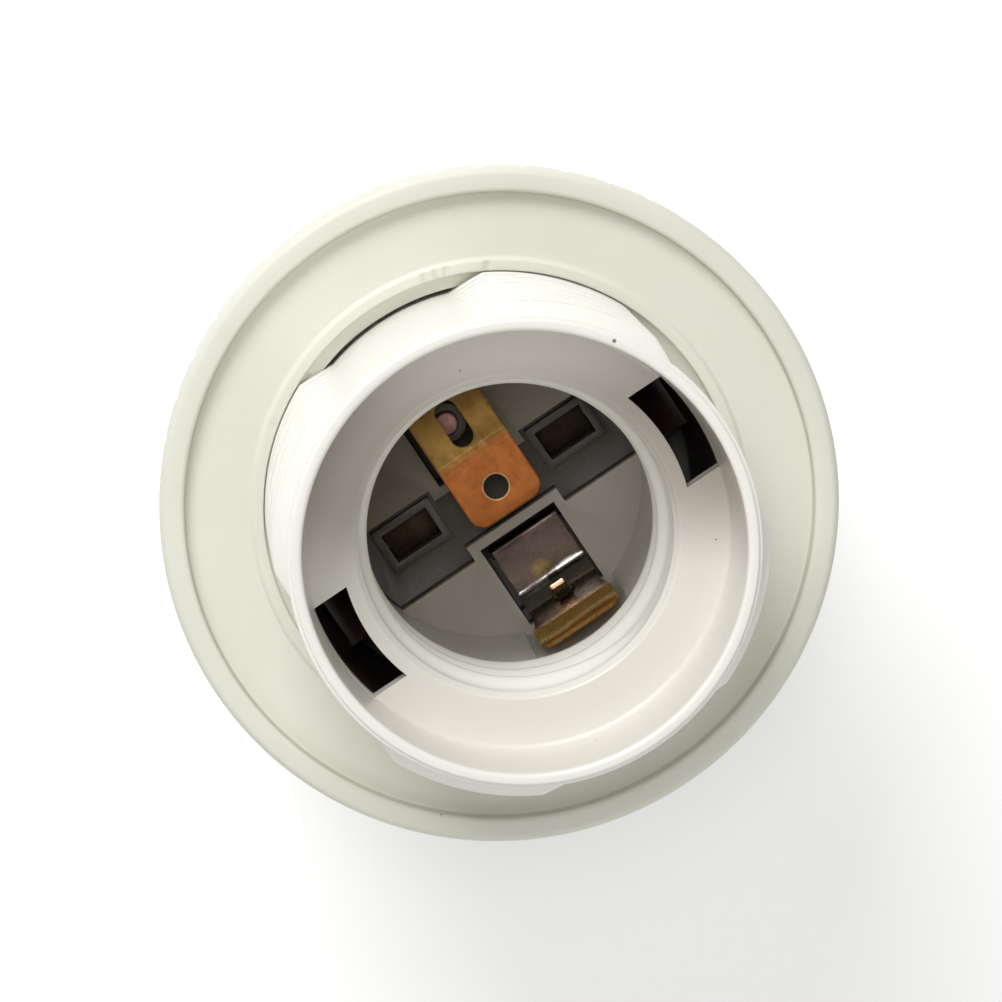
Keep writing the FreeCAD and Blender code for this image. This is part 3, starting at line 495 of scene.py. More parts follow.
FINISHES = (
    SleevePlastic("sleeve_plastic", (0.86, 0.85, 0.80), (0.83, 0.815, 0.76), 0.34, 0.8, coat=0.15, glow=0.12),
    RingPlastic("ring_plastic", (0.735, 0.74, 0.65), (0.71, 0.705, 0.615), 0.46, 0.5, 0.006, glow=0.08),
    CarrierPlastic("carrier_plastic", (0.66, 0.62, 0.55), (0.60, 0.56, 0.49), 0.42, 0.4),
    StripBrass("strip_brass", (0.27, 0.155, 0.045), (0.19, 0.105, 0.030), (0.13, 0.070, 0.022)),
    SprungLeaf("leaf_brass"),
    Brass("rivet_copper", (0.50, 0.27, 0.25), (0.36, 0.18, 0.16), (0.20, 0.11, 0.10), 0.45),
    # Near-black brass: dark tarnish, darkened further as painted shade in the terminal openings.
    Brass("terminal_brass", (0.060, 0.042, 0.028), (0.035, 0.024, 0.017), (0.020, 0.014, 0.010), 0.5),
    PlatedSteel("screw_steel"),
)
Palette = dict[str, Material]


# ---- Surfaces ----


def smooth_step(values: Array, low: float, high: float) -> Array:
    """Return 3t^2 - 2t^3 of the share t of the way from low to high."""
    share = np.clip((values - low) / (high - low), 0.0, 1.0)
    return share * share * (3.0 - 2.0 * share)


def signed_volume(points: Array, faces: Array) -> float:
    """Return six times the volume that faces hold, less than 0 when they look inwards.

    Each face adds the tetrahedra from the origin to the triangles of its fan.
    """
    total = 0.0
    for index in range(1, faces.shape[1] - 1):
        first, second, third = (points[faces[:, k]] for k in (0, index, index + 1))
        total += float(np.einsum("ij,ij->i", first, np.cross(second, third)).sum())
    return total


def meshed(name: str, points: Array, faces: list) -> bpy.types.Mesh:
    """Return a new mesh from points in millimetres and the corner indices of each face."""
    mesh = bpy.data.meshes.new(name)
    mesh.from_pydata((points * MM).tolist(), [], faces)
    return mesh


def dressed(name: str, mesh: bpy.types.Mesh, material: Optional[Material] = None,
            crease: float = CREASE) -> Piece:
    """Link a mesh as a new object that is smooth between its creases; a cutting tool has no material."""
    mesh.name = name
    mesh.materials.clear()
    if material:
        mesh.materials.append(material)
    mesh.polygons.foreach_set("use_smooth", np.ones(len(mesh.polygons), dtype=bool))
    mesh.polygons.foreach_set("material_index", np.zeros(len(mesh.polygons), dtype=np.int32))
    mesh.set_sharp_from_angle(angle=math.radians(crease))
    piece = bpy.data.objects.new(name, mesh)
    bpy.context.scene.collection.objects.link(piece)
    return piece


def arc(before: Array, here: Array, after: Array, radius: float, steps: int) -> Array:
    """Return an arc that touches both sides of a corner, or the corner alone if the radius is 0.

    With h half the angle at the corner, the arc starts and ends radius / tan h from it, and its
    centre lies radius / sin h along the bisector.
    """
    if radius <= 0.0:
        return here[None, :]
    back, ahead = ((place - here) / np.linalg.norm(place - here) for place in (before, after))
    half = math.acos(float(np.clip(back @ ahead, -1.0, 1.0))) / 2.0
    reach = radius / math.tan(half)
    centre = here + (back + ahead) / np.linalg.norm(back + ahead) * radius / math.sin(half)
    share = np.linspace(0.0, 1.0, steps + 1)[:, None]
    chord = (here + back * reach) * (1.0 - share) + (here + ahead * reach) * share - centre
    return centre + chord / np.linalg.norm(chord, axis=1, keepdims=True) * radius


@dataclass(frozen=True)
class Corner:
    """A corner of a section, with the row spacing and the name of the run after it."""

    r: float
    z: float
    rounding: float = 0.0
    spacing: float = 1.5
    run: str = ""


def section(places: Sequence[tuple], arc_steps: int = 4) -> Arrays:
    """Work out a closed section's rows.

    Each corner becomes an arc, and each run between arcs is divided to its spacing.

    Args:
        places: what the section's corners hold, in order.
        arc_steps: divisions of each rounded corner.

    Returns:
        The rows as (r, z), and the name of the run each row belongs to.
    """
    corners = [Corner(*place) for place in places]
    plan = np.array([(corner.r, corner.z) for corner in corners])
    sides = zip(np.roll(plan, 1, axis=0), plan, np.roll(plan, -1, axis=0), corners)
    arcs = [arc(before, here, after, corner.rounding, arc_steps) for before, here, after, corner in sides]
    rows, runs = [], []
    for index, corner in enumerate(corners):
        start, stop = arcs[index][-1], arcs[(index + 1) % len(arcs)][0]
        divisions = max(1, int(round(np.linalg.norm(stop - start) / corner.spacing)))
        share = np.linspace(0.0, 1.0, divisions + 1)[1:-1, None]
        rows += [arcs[index], start * (1.0 - share) + stop * share]
        runs += [corner.run] * (len(arcs[index]) + len(share))
    return np.concatenate(rows), np.array(runs)


Shift = Callable[[Array, Array, Array, Array], Arrays]


def turned(name: str, places: Sequence[tuple], steps: int, material: Material, shift: Shift,
           crease: float = CREASE) -> Piece:
    """Turn a closed section about Z.

    The surface is (r cos t, r sin t, z) over the section's rows and over t from 0 to a full turn.

    Args:
        name: the piece's name.
        places: the section's corners.
        steps: divisions of the turn.
        material: its finish.
        shift: from the grids of angle, r, z and run to new r and z.
        crease: edges sharper than this many degrees stay sharp.

    Returns:
        The new object.
    """
    rows, runs = section(places)
    angle = np.linspace(0.0, FULL_TURN, steps, endpoint=False)
    theta, r = np.meshgrid(angle, rows[:, 0], indexing="ij")
    z = np.broadcast_to(rows[:, 1], r.shape).copy()
    r, z = shift(theta, r, z, np.broadcast_to(runs, r.shape))
    points = np.stack([r * np.cos(theta), r * np.sin(theta), z], axis=-1).reshape(-1, 3)
    i, j = np.meshgrid(np.arange(steps), np.arange(len(rows)), indexing="ij")
    i, j, next_i, next_j = i * len(rows), j, (i + 1) % steps * len(rows), (j + 1) % len(rows)
    faces = np.stack([i + j, next_i + j, next_i + next_j, i + next_j], axis=-1).reshape(-1, 4)
    if signed_volume(points, faces) < 0.0:
        faces = faces[:, ::-1]
    return dressed(name, meshed(name, points, faces.tolist()), material, crease)


def spun(outline: Array, turn: float) -> Array:
    """Return (x, y) points turned about the origin by an angle in radians."""
    return outline @ np.array([[math.cos(turn), math.sin(turn)], [-math.sin(turn), math.cos(turn)]])


def prism(name: str, outline: Array, low: float, high: float) -> Piece:
    """Raise a closed (x, y) outline between two heights, for cutting or joining."""
    after = np.roll(outline, -1, axis=0)
    if np.sum(outline[:, 0] * after[:, 1] - after[:, 0] * outline[:, 1]) < 0.0:
        outline = outline[::-1]
    count = len(outline)
    points = np.concatenate([np.column_stack([outline, np.full(count, z)]) for z in (low, high)])
    here = np.arange(count)
    ahead = (here + 1) % count
    sides = np.column_stack([here, ahead, ahead + count, here + count]).tolist()
    return dressed(name, meshed(name, points, sides + [here[::-1].tolist(), (here + count).tolist()]))


def slot_tool(name: str, inner: float, outer: float, width: float, low: float, high: float,
              turn: float) -> Piece:
    """Make a cutting tool between two radii and two parallel sides, turned about Z."""
    y = np.linspace(-width / 2.0, width / 2.0, 13)
    near, far = (np.column_stack([np.sqrt(radius ** 2 - y ** 2), y]) for radius in (inner, outer))
    return prism(name, spun(np.concatenate([near, far[::-1]]), turn), low, high)


def laid(name: str, outline: Array, low: float, high: float, side: int) -> Piece:
    """Draw an (x, z) outline out from low to high along -Y, or along Y and mirrored in x at side -1."""
    piece = prism(name, outline, low, high)
    piece.data.transform(Matrix(((side, 0, 0, 0), (0, 0, -side, 0), (0, 1, 0, 0), (0, 0, 0, 1))))
    return piece


def circle(radius: float, x: float, y: float, sides: int = 40) -> Array:
    """Return the corners of a round outline about a point."""
    angle = np.linspace(0.0, FULL_TURN, sides, endpoint=False)
    return np.column_stack([x + radius * np.cos(angle), y + radius * np.sin(angle)])


def carved(piece: Piece, tools: Sequence[Piece], operation: str = "DIFFERENCE",
           crease: float = CREASE) -> None:
    """Cut tools out of a piece, or join them to it, and remove them."""
    for tool in tools:
        modifier = piece.modifiers.new(tool.name, "BOOLEAN")
        modifier.operation = operation
        modifier.solver = "EXACT"
        modifier.object = tool
    graph = bpy.context.evaluated_depsgraph_get()
    mesh = bpy.data.meshes.new_from_object(piece.evaluated_get(graph))
    piece.modifiers.clear()
    piece.data = mesh
    mesh.set_sharp_from_angle(angle=math.radians(crease))
    for tool in tools:
        bpy.data.objects.remove(tool)


def bevelled(name: str, grid: bmesh.types.BMesh, width: float, sharpest: float, material: Material,
             crease: float) -> Piece:
    """Break the edges of a grid that are sharper than an angle, and make it a piece."""
    limit = math.radians(sharpest)
    sharp = [edge for edge in grid.edges if edge.is_manifold and edge.calc_face_angle(0.0) > limit]
    bmesh.ops.bevel(grid, geom=sharp, offset=width * MM, segments=2, affect="EDGES", profile=0.5,
                    clamp_overlap=True)
    mesh = bpy.data.meshes.new(name)
    grid.to_mesh(mesh)
    grid.free()
    return dressed(name, mesh, material, crease)


def seat(piece: Piece, node: str, body: Body) -> None:
    """Let a piece stand for a node, ride it on its body and log it."""
    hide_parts(node)
    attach(piece, body.value)
    LOG.info("%s stands for %s and rides on %s", piece.name, node, body.value)


def levels(node: str) -> Pair:
    """Return a node's lowest and highest z in millimetres."""
    low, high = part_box(node)
    return low[2] / MM, high[2] / MM


def ripple(theta: Array, seed: int, lowest: int, highest: int) -> Array:
    """Return a sum of random waves round the turn, about -1 to 1."""
    random = np.random.default_rng(seed)
    orders = np.arange(lowest, highest)
    sizes = random.normal(size=len(orders)) / math.sqrt(len(orders))
    phases = random.uniform(0.0, FULL_TURN, len(orders))
    return np.cos(theta[..., None] * orders + phases) @ sizes


@dataclass(frozen=True)
class Helix:
    """A right-hand helical ridge that starts at its top and runs down."""

    pitch: float
    start_angle: float
    start_z: float
    turns: float
    crest: float
    flank: float
    fade: float = 0.1

    def ridge(self, theta: Array, z: Array) -> Array:
        """Return the ridge's height, from 0 to 1, at angles in radians and heights in millimetres.

        With f the share of a turn from an angle up to the start and k whole turns, the ridge's
        centre lies at start_z - pitch (k + f). The height falls from 1 at crest to 0 at
        crest + flank, both in pitches from the centre, and fades at both ends of the ridge.
        """
        share = np.mod(math.radians(self.start_angle) - theta, FULL_TURN) / FULL_TURN
        along = (self.start_z - z) / self.pitch - share
        whole = np.round(along)
        turn = whole + share
        top, foot = (smooth_step(turn, end, end + self.fade) for end in (0.0, self.turns - self.fade))
        height = 1.0 - smooth_step(np.abs(along - whole), self.crest, self.crest + self.flank)
        return height * top * (1.0 - foot)


# ---- Moulded pieces ----

SKIRT_THREAD = Helix(pitch=2.5, start_angle=333.0, start_z=59.0, turns=12.0, crest=0.06, flank=0.32)


@dataclass(frozen=True)
class FrontSleeve:
    """Skirt with its outside thread and reliefs, cup floor with two windows, and lamp thread tube."""

    skirt_r: float = 20.65
    skirt_depth: float = 1.25
    rim_r: float = 19.65
    rim_height: float = 1.1
    rim_step: float = 0.3
    bore_mouth_r: float = 18.4
    bore_floor_r: float = 18.1
    shoulder_r: float = 22.6
    spigot_r: float = 20.7
    shoulder_z: Pair = (24.5, 26.7)
    bottom_z: float = 21.0
    cup_depth: float = 9.4
    floor_thickness: float = 2.0
    lamp_r: float = 13.3
    lamp_depth: float = 0.86
    lamp_thread: Helix = Helix(pitch=3.629, start_angle=306.0, start_z=49.5, turns=2.75, crest=0.0, flank=0.5,
                               fade=0.16)
    thread_end_z: float = 40.0
    mouth_chamfer: float = 0.5
    thread_step: float = 0.6
    chamber_r: float = 13.9
    tube_r: float = 14.9
    relief_r: float = 19.2
    relief_turn: float = -2.2
    relief_halves: Pair = (18.0, 27.0)   # degrees at the floor and at the crest
    window_width: float = 9.15
    window_gaps: Pair = (0.02, 0.03)     # to the tube and to the bore
    recess_width: float = 9.6
    recess_height: float = 17.6
    recess_depth: float = 0.5
    steps: int = 320

    def build(self, palette: Palette) -> None:
        """Make the sleeve and seat it on the holder."""
        tube_z, mouth_z = levels("front_sleeve")
        floor_z = mouth_z - self.cup_depth
        under_z = floor_z - self.floor_thickness
        rim_z, step_z = mouth_z - self.rim_height, mouth_z - self.rim_step
        step_r = self.rim_r - self.rim_step
        low_z, high_z = self.shoulder_z
        corners = [
            (self.bore_floor_r, self.bottom_z, 0.2),
            (self.spigot_r, self.bottom_z, 0.4),
            (self.spigot_r, low_z),
            (self.shoulder_r, low_z, 0.2),
            (self.shoulder_r, high_z, 0.35),
            (self.skirt_r, high_z, 0.0, 0.24, "skirt"),
            (self.skirt_r, rim_z - self.skirt_r + self.rim_r, 0.0, 0.25, "skirt"),
            (self.rim_r, rim_z),
            (self.rim_r, step_z, 0.14),
            (step_r, step_z, 0.05),
            (step_r, mouth_z, 0.2),
            (self.bore_mouth_r, mouth_z, 0.38),
            (self.bore_floor_r, floor_z, 0.45),
            (self.lamp_r + self.mouth_chamfer, floor_z, 0.3),
            (self.lamp_r, floor_z - self.thread_step, 0.3, 0.22, "lamp"),
            (self.lamp_r, self.thread_end_z, 0.2),
            (self.chamber_r, self.thread_end_z - self.thread_step, 0.3),
            (self.chamber_r, tube_z, 0.15),
            (self.tube_r, tube_z, 0.15),
            (self.tube_r, under_z, 0.4),
            (self.bore_floor_r, under_z, 0.4),
        ]
        sleeve = turned("sleeve", corners, self.steps, palette["sleeve_plastic"], self.threads)
        inner, outer = self.tube_r + self.window_gaps[0], self.bore_floor_r - self.window_gaps[1]
        tools = [slot_tool(f"window_{index}", inner, outer, self.window_width, under_z - 1.0, floor_z + 1.0,
                           index * math.pi) for index in range(2)]
        tools.append(slot_tool("recess", self.chamber_r - 5.0, self.chamber_r + self.recess_depth,
                               self.recess_width, tube_z - 1.0, tube_z + self.recess_height, -math.pi / 2.0))
        carved(sleeve, tools)
        seat(sleeve, "front_sleeve", Body.HOLDER)

    def threads(self, theta: Array, r: Array, z: Array, run: Array) -> Arrays:
        """Cut the outside thread and the reliefs, and raise the lamp thread."""
        floor, crest = self.relief_halves
        quarter = np.mod(np.degrees(theta) - self.relief_turn + 45.0, 90.0) - 45.0
        share = np.clip((np.abs(quarter) - floor) / (crest - floor), 0.0, 2.0)
        skirt = np.minimum(r - self.skirt_depth * SKIRT_THREAD.ridge(theta, z),
                           self.relief_r + (self.skirt_r - self.relief_r) * share)
        raised = r - self.lamp_depth * self.lamp_thread.ridge(theta, z)
        return np.select([run == "skirt", run == "lamp"], [skirt, raised], r), z


@dataclass(frozen=True)
class ShadeRing:
    """Flanged ring with its raised band, grip notches, lip round the hole and inside thread."""

    ring_r: float = 29.85
    band_inner_r: float = 27.7
    flange_thickness: float = 1.9
    band_depth: float = 2.4
    face_below_band: float = 1.3
    hub_r: float = 22.25
    thread_r: float = 20.75
    thread_depth: float = 1.2
    lip_width: float = 0.9
    lip_rise: float = 0.3
    grips: int = 48
    grip_depth: float = 0.2
    grip_width: float = 0.9
    edge_wear: float = 0.02
    face_sag: float = 0.03
    soft: float = 0.3                                   # width over which wear fades out
    chips: tuple[Triple, ...] = (   # azimuth, width and depth
        (73.0, 2.4, 0.4), (69.5, 1.2, 0.3), (59.5, 1.1, 0.35), (126.0, 1.0, 0.2))
    steps: int = 960

    def span(self) -> Triple:
        """Return the heights of the hub's foot, the face and the band."""
        low_z, band_z = levels("shade_ring")
        return low_z, band_z - self.face_below_band, band_z

    def build(self, palette: Palette) -> None:
        """Make the ring and seat it on its own body."""
        low_z, face_z, band_z = self.span()
        lip_r, lip_z = self.thread_r + self.lip_width, face_z + self.lip_rise
        under_z, edge_z = face_z - self.flange_thickness, face_z - self.band_depth
        corners = [
            (self.thread_r, low_z, 0.2),
            (self.hub_r, low_z, 0.35),
            (self.hub_r, under_z, 0.4),
            (self.band_inner_r, under_z, 0.25),
            (self.band_inner_r, edge_z, 0.2),
            (self.ring_r, edge_z, 0.3, 0.3, "edge"),
            (self.ring_r, band_z, 0.7, 0.6),
            (self.band_inner_r, band_z, 0.4, 0.3),
            (self.band_inner_r - 0.1, face_z, 0.3, 0.7, "face"),
            (lip_r + 0.35, face_z, 0.3, 0.4, "lip"),
            (lip_r, lip_z, 0.16, 0.3, "lip"),
            (self.thread_r, lip_z, 0.16, 0.24, "thread"),
        ]
        ring = turned("ring", corners, self.steps, palette["ring_plastic"], self.relief)
        seat(ring, "shade_ring", Body.RING)

    def relief(self, theta: Array, r: Array, z: Array, run: Array) -> Arrays:
        """Raise the inside thread, press in the grip notches and chip the lip and the edge.

        A notch is a V: its depth falls evenly to nothing at half its width. A chip's depth falls
        as exp(-x^4) with x the angle from its middle in widths.
        """
        low_z, face_z, _ = self.span()
        whole = smooth_step(z, low_z + 0.1, low_z + 0.9) * (1.0 - smooth_step(z, face_z - 0.7, face_z + 0.1))
        threaded = r - self.thread_depth * SKIRT_THREAD.ridge(theta, z) * whole
        spacing = FULL_TURN / self.grips
        along = (np.mod(theta + spacing / 2.0, spacing) - spacing / 2.0) * self.ring_r
        notch = self.grip_depth * np.clip(1.0 - 2.0 * np.abs(along) / self.grip_width, 0.0, None)
        notch = notch * (1.0 - smooth_step(z, face_z - 0.25, face_z + 0.1))
        edge = r - notch - self.edge_wear * np.abs(ripple(theta[:, :1], SEED, 20, 160))
        drop = np.zeros_like(z)
        for azimuth, width, depth in self.chips:
            away = np.degrees(np.angle(np.exp(1j * (theta - math.radians(azimuth)))))
            drop = drop + depth * np.exp(-((away / width) ** 4))
        near_lip = 1.0 - smooth_step(r, self.thread_r + self.soft, self.thread_r + self.lip_width + self.soft)
        at_top = smooth_step(z, face_z - self.soft, face_z + self.lip_rise)
        drop = drop * (0.6 + 0.4 * ripple(theta[:, :1], SEED + 1, 60, 200)) * near_lip * at_top
        sag = self.face_sag * np.abs(ripple(theta[:, :1], SEED + 2, 2, 9))
        new_r = np.select([run == "thread", run == "edge", run == "lip"], [threaded, edge, r + drop * 0.6], r)
        return new_r, np.where(run == "face", z - sag, z - drop * 0.5)


@dataclass(frozen=True)
class RearCap:
    """Domed cap with its threaded neck, carrier ribs and latch arms."""

    neck_r: float = 8.5
    neck_length: float = 8.0
    neck_chamfer: float = 0.6
    entry_r: float = 4.5
    entry_length: float = 8.5
    entry_chamfer: float = 0.7
    entry_thread: Helix = Helix(pitch=1.0, start_angle=0.0, start_z=8.2, turns=8.0, crest=0.05, flank=0.45)
    entry_depth: float = 0.45
    pass_r: float = 3.4
    cap_r: float = 22.6
    dome_height: float = 9.5
    top_z: float = 24.5
    wall: float = 1.8
    rib_azimuths: tuple[int, ...] = (45, 135, 225, 315)
    rib_r: Pair = (12.6, 17.0)
    rib_half: float = 0.8
    rib_z: float = 10.4
    arm_half: float = 3.5
    arm_r: Pair = (16.6, 17.8)
    arm_z: Pair = (12.0, 30.6)
    foot: tuple[Pair, ...] = ((18.0, 0.0), (19.3, 2.8))     # radius, and height over the arm's low end
    foot_height: float = 6.0
    nib_r: float = 15.1
    nib_height: float = 1.8
    nib_edge: float = 0.6
    lock_z: float = 4.0
    lock_r: float = 1.5
    crease: float = 50.0
    steps: int = 256

    def build(self, palette: Palette) -> None:
        """Make the cap and seat it on the holder."""
        dome_z = self.neck_length + self.dome_height
        tall = self.dome_height - self.wall
        slant = np.linspace(0.0, math.pi / 2.0, 17)
        reach = (self.cap_r - self.neck_r) * np.sin(slant)
        domes = ((self.neck_r, self.dome_height), (self.neck_r - self.wall, tall))
        outer, inner = (np.column_stack([start + reach, dome_z - height * np.cos(slant)]).tolist()
                        for start, height in domes)
        corners = [
            (self.entry_r + self.entry_chamfer, 0.0, 0.15),
            (self.neck_r - self.neck_chamfer, 0.0, 0.2),
            (self.neck_r, self.neck_chamfer, 0.2),
            (*outer[0], 0.5), *outer[1:],
            (self.cap_r, self.top_z, 0.25),
            (self.cap_r - self.wall, self.top_z, 0.25), *inner[::-1],
            (self.pass_r, dome_z - tall, 0.2),
            (self.pass_r, self.entry_length, 0.1),
            (self.entry_r, self.entry_length, 0.0, 0.12, "entry"),
            (self.entry_r, self.entry_chamfer, 0.0, 0.3),
        ]
        cap = turned("cap", corners, self.steps, palette["sleeve_plastic"], self.thread, self.crease)
        carved(cap, self.ribs() + self.arms(), "UNION", self.crease)
        hole = laid("lock_hole", circle(self.lock_r, 0.0, self.lock_z), 3.0, self.neck_r + 1.0, -1)
        carved(cap, [hole], crease=self.crease)
        seat(cap, "rear_cap", Body.HOLDER)

    def thread(self, theta: Array, r: Array, z: Array, run: Array) -> Arrays:
        """Cut the entry's thread outwards from its crests."""
        return np.where(run == "entry", r + self.entry_depth * self.entry_thread.ridge(theta, z), r), z

    def ribs(self) -> list[Piece]:
        """Return the ribs under the contact carrier."""
        near, far = self.rib_r
        half = self.rib_half
        outline = np.array([(near, -half), (far, -half), (far, half), (near, half)])
        return [prism(f"rib_{azimuth}", spun(outline, math.radians(azimuth)), self.rib_z, self.arm_z[0])
                for azimuth in self.rib_azimuths]

    def arms(self) -> list[Piece]:
        """Return the two latch arms, each a section with its foot and nib drawn out across."""
        inner, outer = self.arm_r
        low, high = self.arm_z
        nib_z = high - self.nib_height
        outline = np.array([(inner, low), *((r, low + height) for r, height in self.foot),
                            (outer, low + self.foot_height), (outer, high), (inner, high),
                            (self.nib_r, nib_z + self.nib_edge), (self.nib_r, nib_z), (inner, nib_z)])
        return [laid(f"arm_{side}", outline, -self.arm_half, self.arm_half, side) for side in (-1, 1)]


# ---- Sprung contacts ----


class FoldPath:
    """The middle line of a folded sheet in the YZ plane."""

    def __init__(self, corners: Sequence[Pair], bends: Sequence[float],
                 step: float = 0.03) -> None:
        """Work out points along the line.

        Args:
            corners: the line's corners as (y, z).
            bends: the bend radius of each inner corner.
            step: spacing of the points.
        """
        places = np.array(corners, dtype=float)
        arcs = [arc(*places[index:index + 3], radius, 24) for index, radius in enumerate(bends)]
        line = np.concatenate([places[:1], *arcs, places[-1:]])
        length = np.concatenate([[0.0], np.cumsum(np.linalg.norm(np.diff(line, axis=0), axis=1))])
        self.s = np.arange(0.0, length[-1], step)
        self.line = np.column_stack([np.interp(self.s, length, line[:, k]) for k in (0, 1)])
        tangent = np.gradient(self.line, step, axis=0)
        self.tangent = tangent / np.linalg.norm(tangent, axis=1, keepdims=True)
        self.end = float(length[-1]) - step

    def lift(self, u: Array, v: Array, height: Array) -> Array:
        """Return the (x, y, z) of points of the flat blank, at heights over it.

        A point at v along the line and at a height to its left lies at line(v) + height n(v), with
        n the tangent turned a quarter turn to the left. Its x is u.
        """
        y, z, ty, tz = (np.interp(v, self.s, column) for column in (*self.line.T, *self.tangent.T))
        return np.column_stack([u, y - height * tz, z + height * ty])


def mirrored_loop(middle: float, side: Sequence[Triple], spacing: float = 0.24) -> Array:
    """Return a closed outline from one side's (offset, v, rounding) corners and their mirror image."""
    left, right = ([(middle + sign * offset, v, rounding, spacing) for offset, v, rounding in side]
                   for sign in (-1.0, 1.0))
    return section([left[0], *right, *left[:0:-1]], 7)[0]


def inside(points: Array, loops: Sequence[Array]) -> Array:
    """Say which points lie in an outline and in none of its holes, by counting the edges to their right."""
    start = np.concatenate(loops)
    end = np.concatenate([np.roll(loop, -1, axis=0) for loop in loops])
    u, v = points[:, 0:1], points[:, 1:2]
    crosses = (start[:, 1] > v) != (end[:, 1] > v)
    rise = np.where(crosses, end[:, 1] - start[:, 1], 1.0)
    at = start[:, 0] + (v - start[:, 1]) * (end[:, 0] - start[:, 0]) / rise
    return np.count_nonzero(crosses & (u < at), axis=1) % 2 == 1


def blank(loops: Sequence[Array], spacing: float) -> Arrays:
    """Divide a flat sheet into triangles about as large as a spacing.

    Args:
        loops: the sheet's outline and then its holes.
        spacing: size of the triangles.

    Returns:
        The points as (u, v) and the triangles.
    """
    low, high = loops[0].min(axis=0), loops[0].max(axis=0)
    counts = np.maximum(1, np.round((high - low) / spacing)).astype(int)
    u, v = np.meshgrid(*(np.linspace(low[k], high[k], counts[k] + 1) for k in (0, 1)), indexing="ij")
    grid = np.column_stack([u.ravel(), v.ravel()])
    border = np.concatenate(loops)
    gap = np.min(np.linalg.norm(grid[:, None] - border, axis=2), axis=1)
    grid = grid[inside(grid, loops) & (gap > spacing * 0.45)]
    edges, start = [], 0
    for loop in loops:
        here = np.arange(len(loop))
        edges += np.column_stack([here + start, (here + 1) % len(loop) + start]).tolist()
        start += len(loop)
    places = [Vector(place) for place in np.concatenate([border, grid]).tolist()]
    found = delaunay_2d_cdt(places, edges, [], 0, 1e-6)
    points = np.array([tuple(place) for place in found[0]])
    triangles = np.array(found[2])
    return points, triangles[inside(points[triangles].mean(axis=1), loops)]


def folded(name: str, path: FoldPath, loops: Sequence[Array], thickness: float, material: Material,
           bend: Callable[[Array, Array], Array], spacing: float = 0.24, rim: float = 0.05) -> Piece:
    """Fold a flat blank along a path, give it its thickness and break its edges.

    Args:
        name: the piece's name.
        path: the sheet's middle line.
        loops: the blank's outline and then its holes, as (u, v).
        thickness: the sheet's thickness.
        material: its finish.
        bend: extra height of each (u, v).
        spacing: size of its triangles.
        rim: width of the broken edges.

    Returns:
        The new object, whose mesh carries "across" and "along", the u and v of each point.
    """
    flat, triangles = blank(loops, spacing)
    u, v = flat.T
    count = len(flat)
    points = np.concatenate([path.lift(u, v, bend(u, v) + side * thickness / 2.0) for side in (1.0, -1.0)])
    first, second = (flat[triangles[:, k]] - flat[triangles[:, 0]] for k in (1, 2))
    flip = first[:, 0] * second[:, 1] - first[:, 1] * second[:, 0] < 0.0
    triangles = np.where(flip[:, None], triangles[:, ::-1], triangles)
    start, end = np.concatenate([triangles[:, pair] for pair in ([0, 1], [1, 2], [2, 0])]).T
    on_border = ~np.isin(start * count + end, end * count + start)
    start, end = start[on_border], end[on_border]
    walls = np.column_stack([end, start, start + count, end + count])
    skins = np.concatenate([triangles, triangles[:, ::-1] + count])
    shell = skins.tolist() + walls.tolist()
    if signed_volume(points, skins) + signed_volume(points, walls) < 0.0:
        shell = [face[::-1] for face in shell]
    mesh = meshed(name, points, shell)
    for key, column in (("across", u), ("along", v)):
        layer = mesh.attributes.new(key, "FLOAT", "POINT")
        layer.data.foreach_set("value", np.tile(column, 2).astype(np.float32))
    grid = bmesh.new()
    grid.from_mesh(mesh)
    bpy.data.meshes.remove(mesh)
    return bevelled(name, grid, rim, 55.0, material, 50.0)


@dataclass(frozen=True)
class CentreContact:
    """Sprung strip with a slot, a folded tab with a round hole, and a tail in its slot."""

    sheet: float = 0.4
    width: float = 7.3
    middle_x: float = 0.5
    tab_y: Pair = (-2.7, 3.8)
    tab_corner: float = 1.4
    root_z: float = 21.3
    bends: Pair = (1.0, 0.7)
    hole_r: float = 1.15
    slot_v: Pair = (7.2, 11.85)
    slot_r: float = 1.05

    def build(self, palette: Palette) -> None:
        """Make the contact and seat it on its spring body."""
        low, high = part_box("centre_contact")
        half_sheet, half = self.sheet / 2.0, self.width / 2.0
        near_y, far_y = self.tab_y
        tab_z, root_y = high.z / MM - half_sheet, high.y / MM - half_sheet
        path = FoldPath([(near_y, tab_z), (far_y, tab_z), (root_y, self.root_z - half_sheet),
                         (root_y, low.z / MM)], self.bends)
        outline = mirrored_loop(self.middle_x, [(half, 0.0, self.tab_corner), (half, path.end, 0.1)])
        hole = circle(self.hole_r, self.middle_x, -near_y)
        slot = mirrored_loop(self.middle_x, [(self.slot_r, v, self.slot_r * 0.98) for v in self.slot_v], 0.2)
        contact = folded("centre_strip", path, [outline, hole, slot], self.sheet, palette["strip_brass"],
                         self.wave)
        seat(contact, "centre_contact", Body.CENTRE_SPRING)

    def wave(self, u: Array, v: Array) -> Array:
        """Return the slight unevenness of a hand-bent tab."""
        return 0.03 * np.sin(u * 0.8) * np.cos(v * 0.5) - 0.06 * smooth_step(-v, -0.9, 0.0)


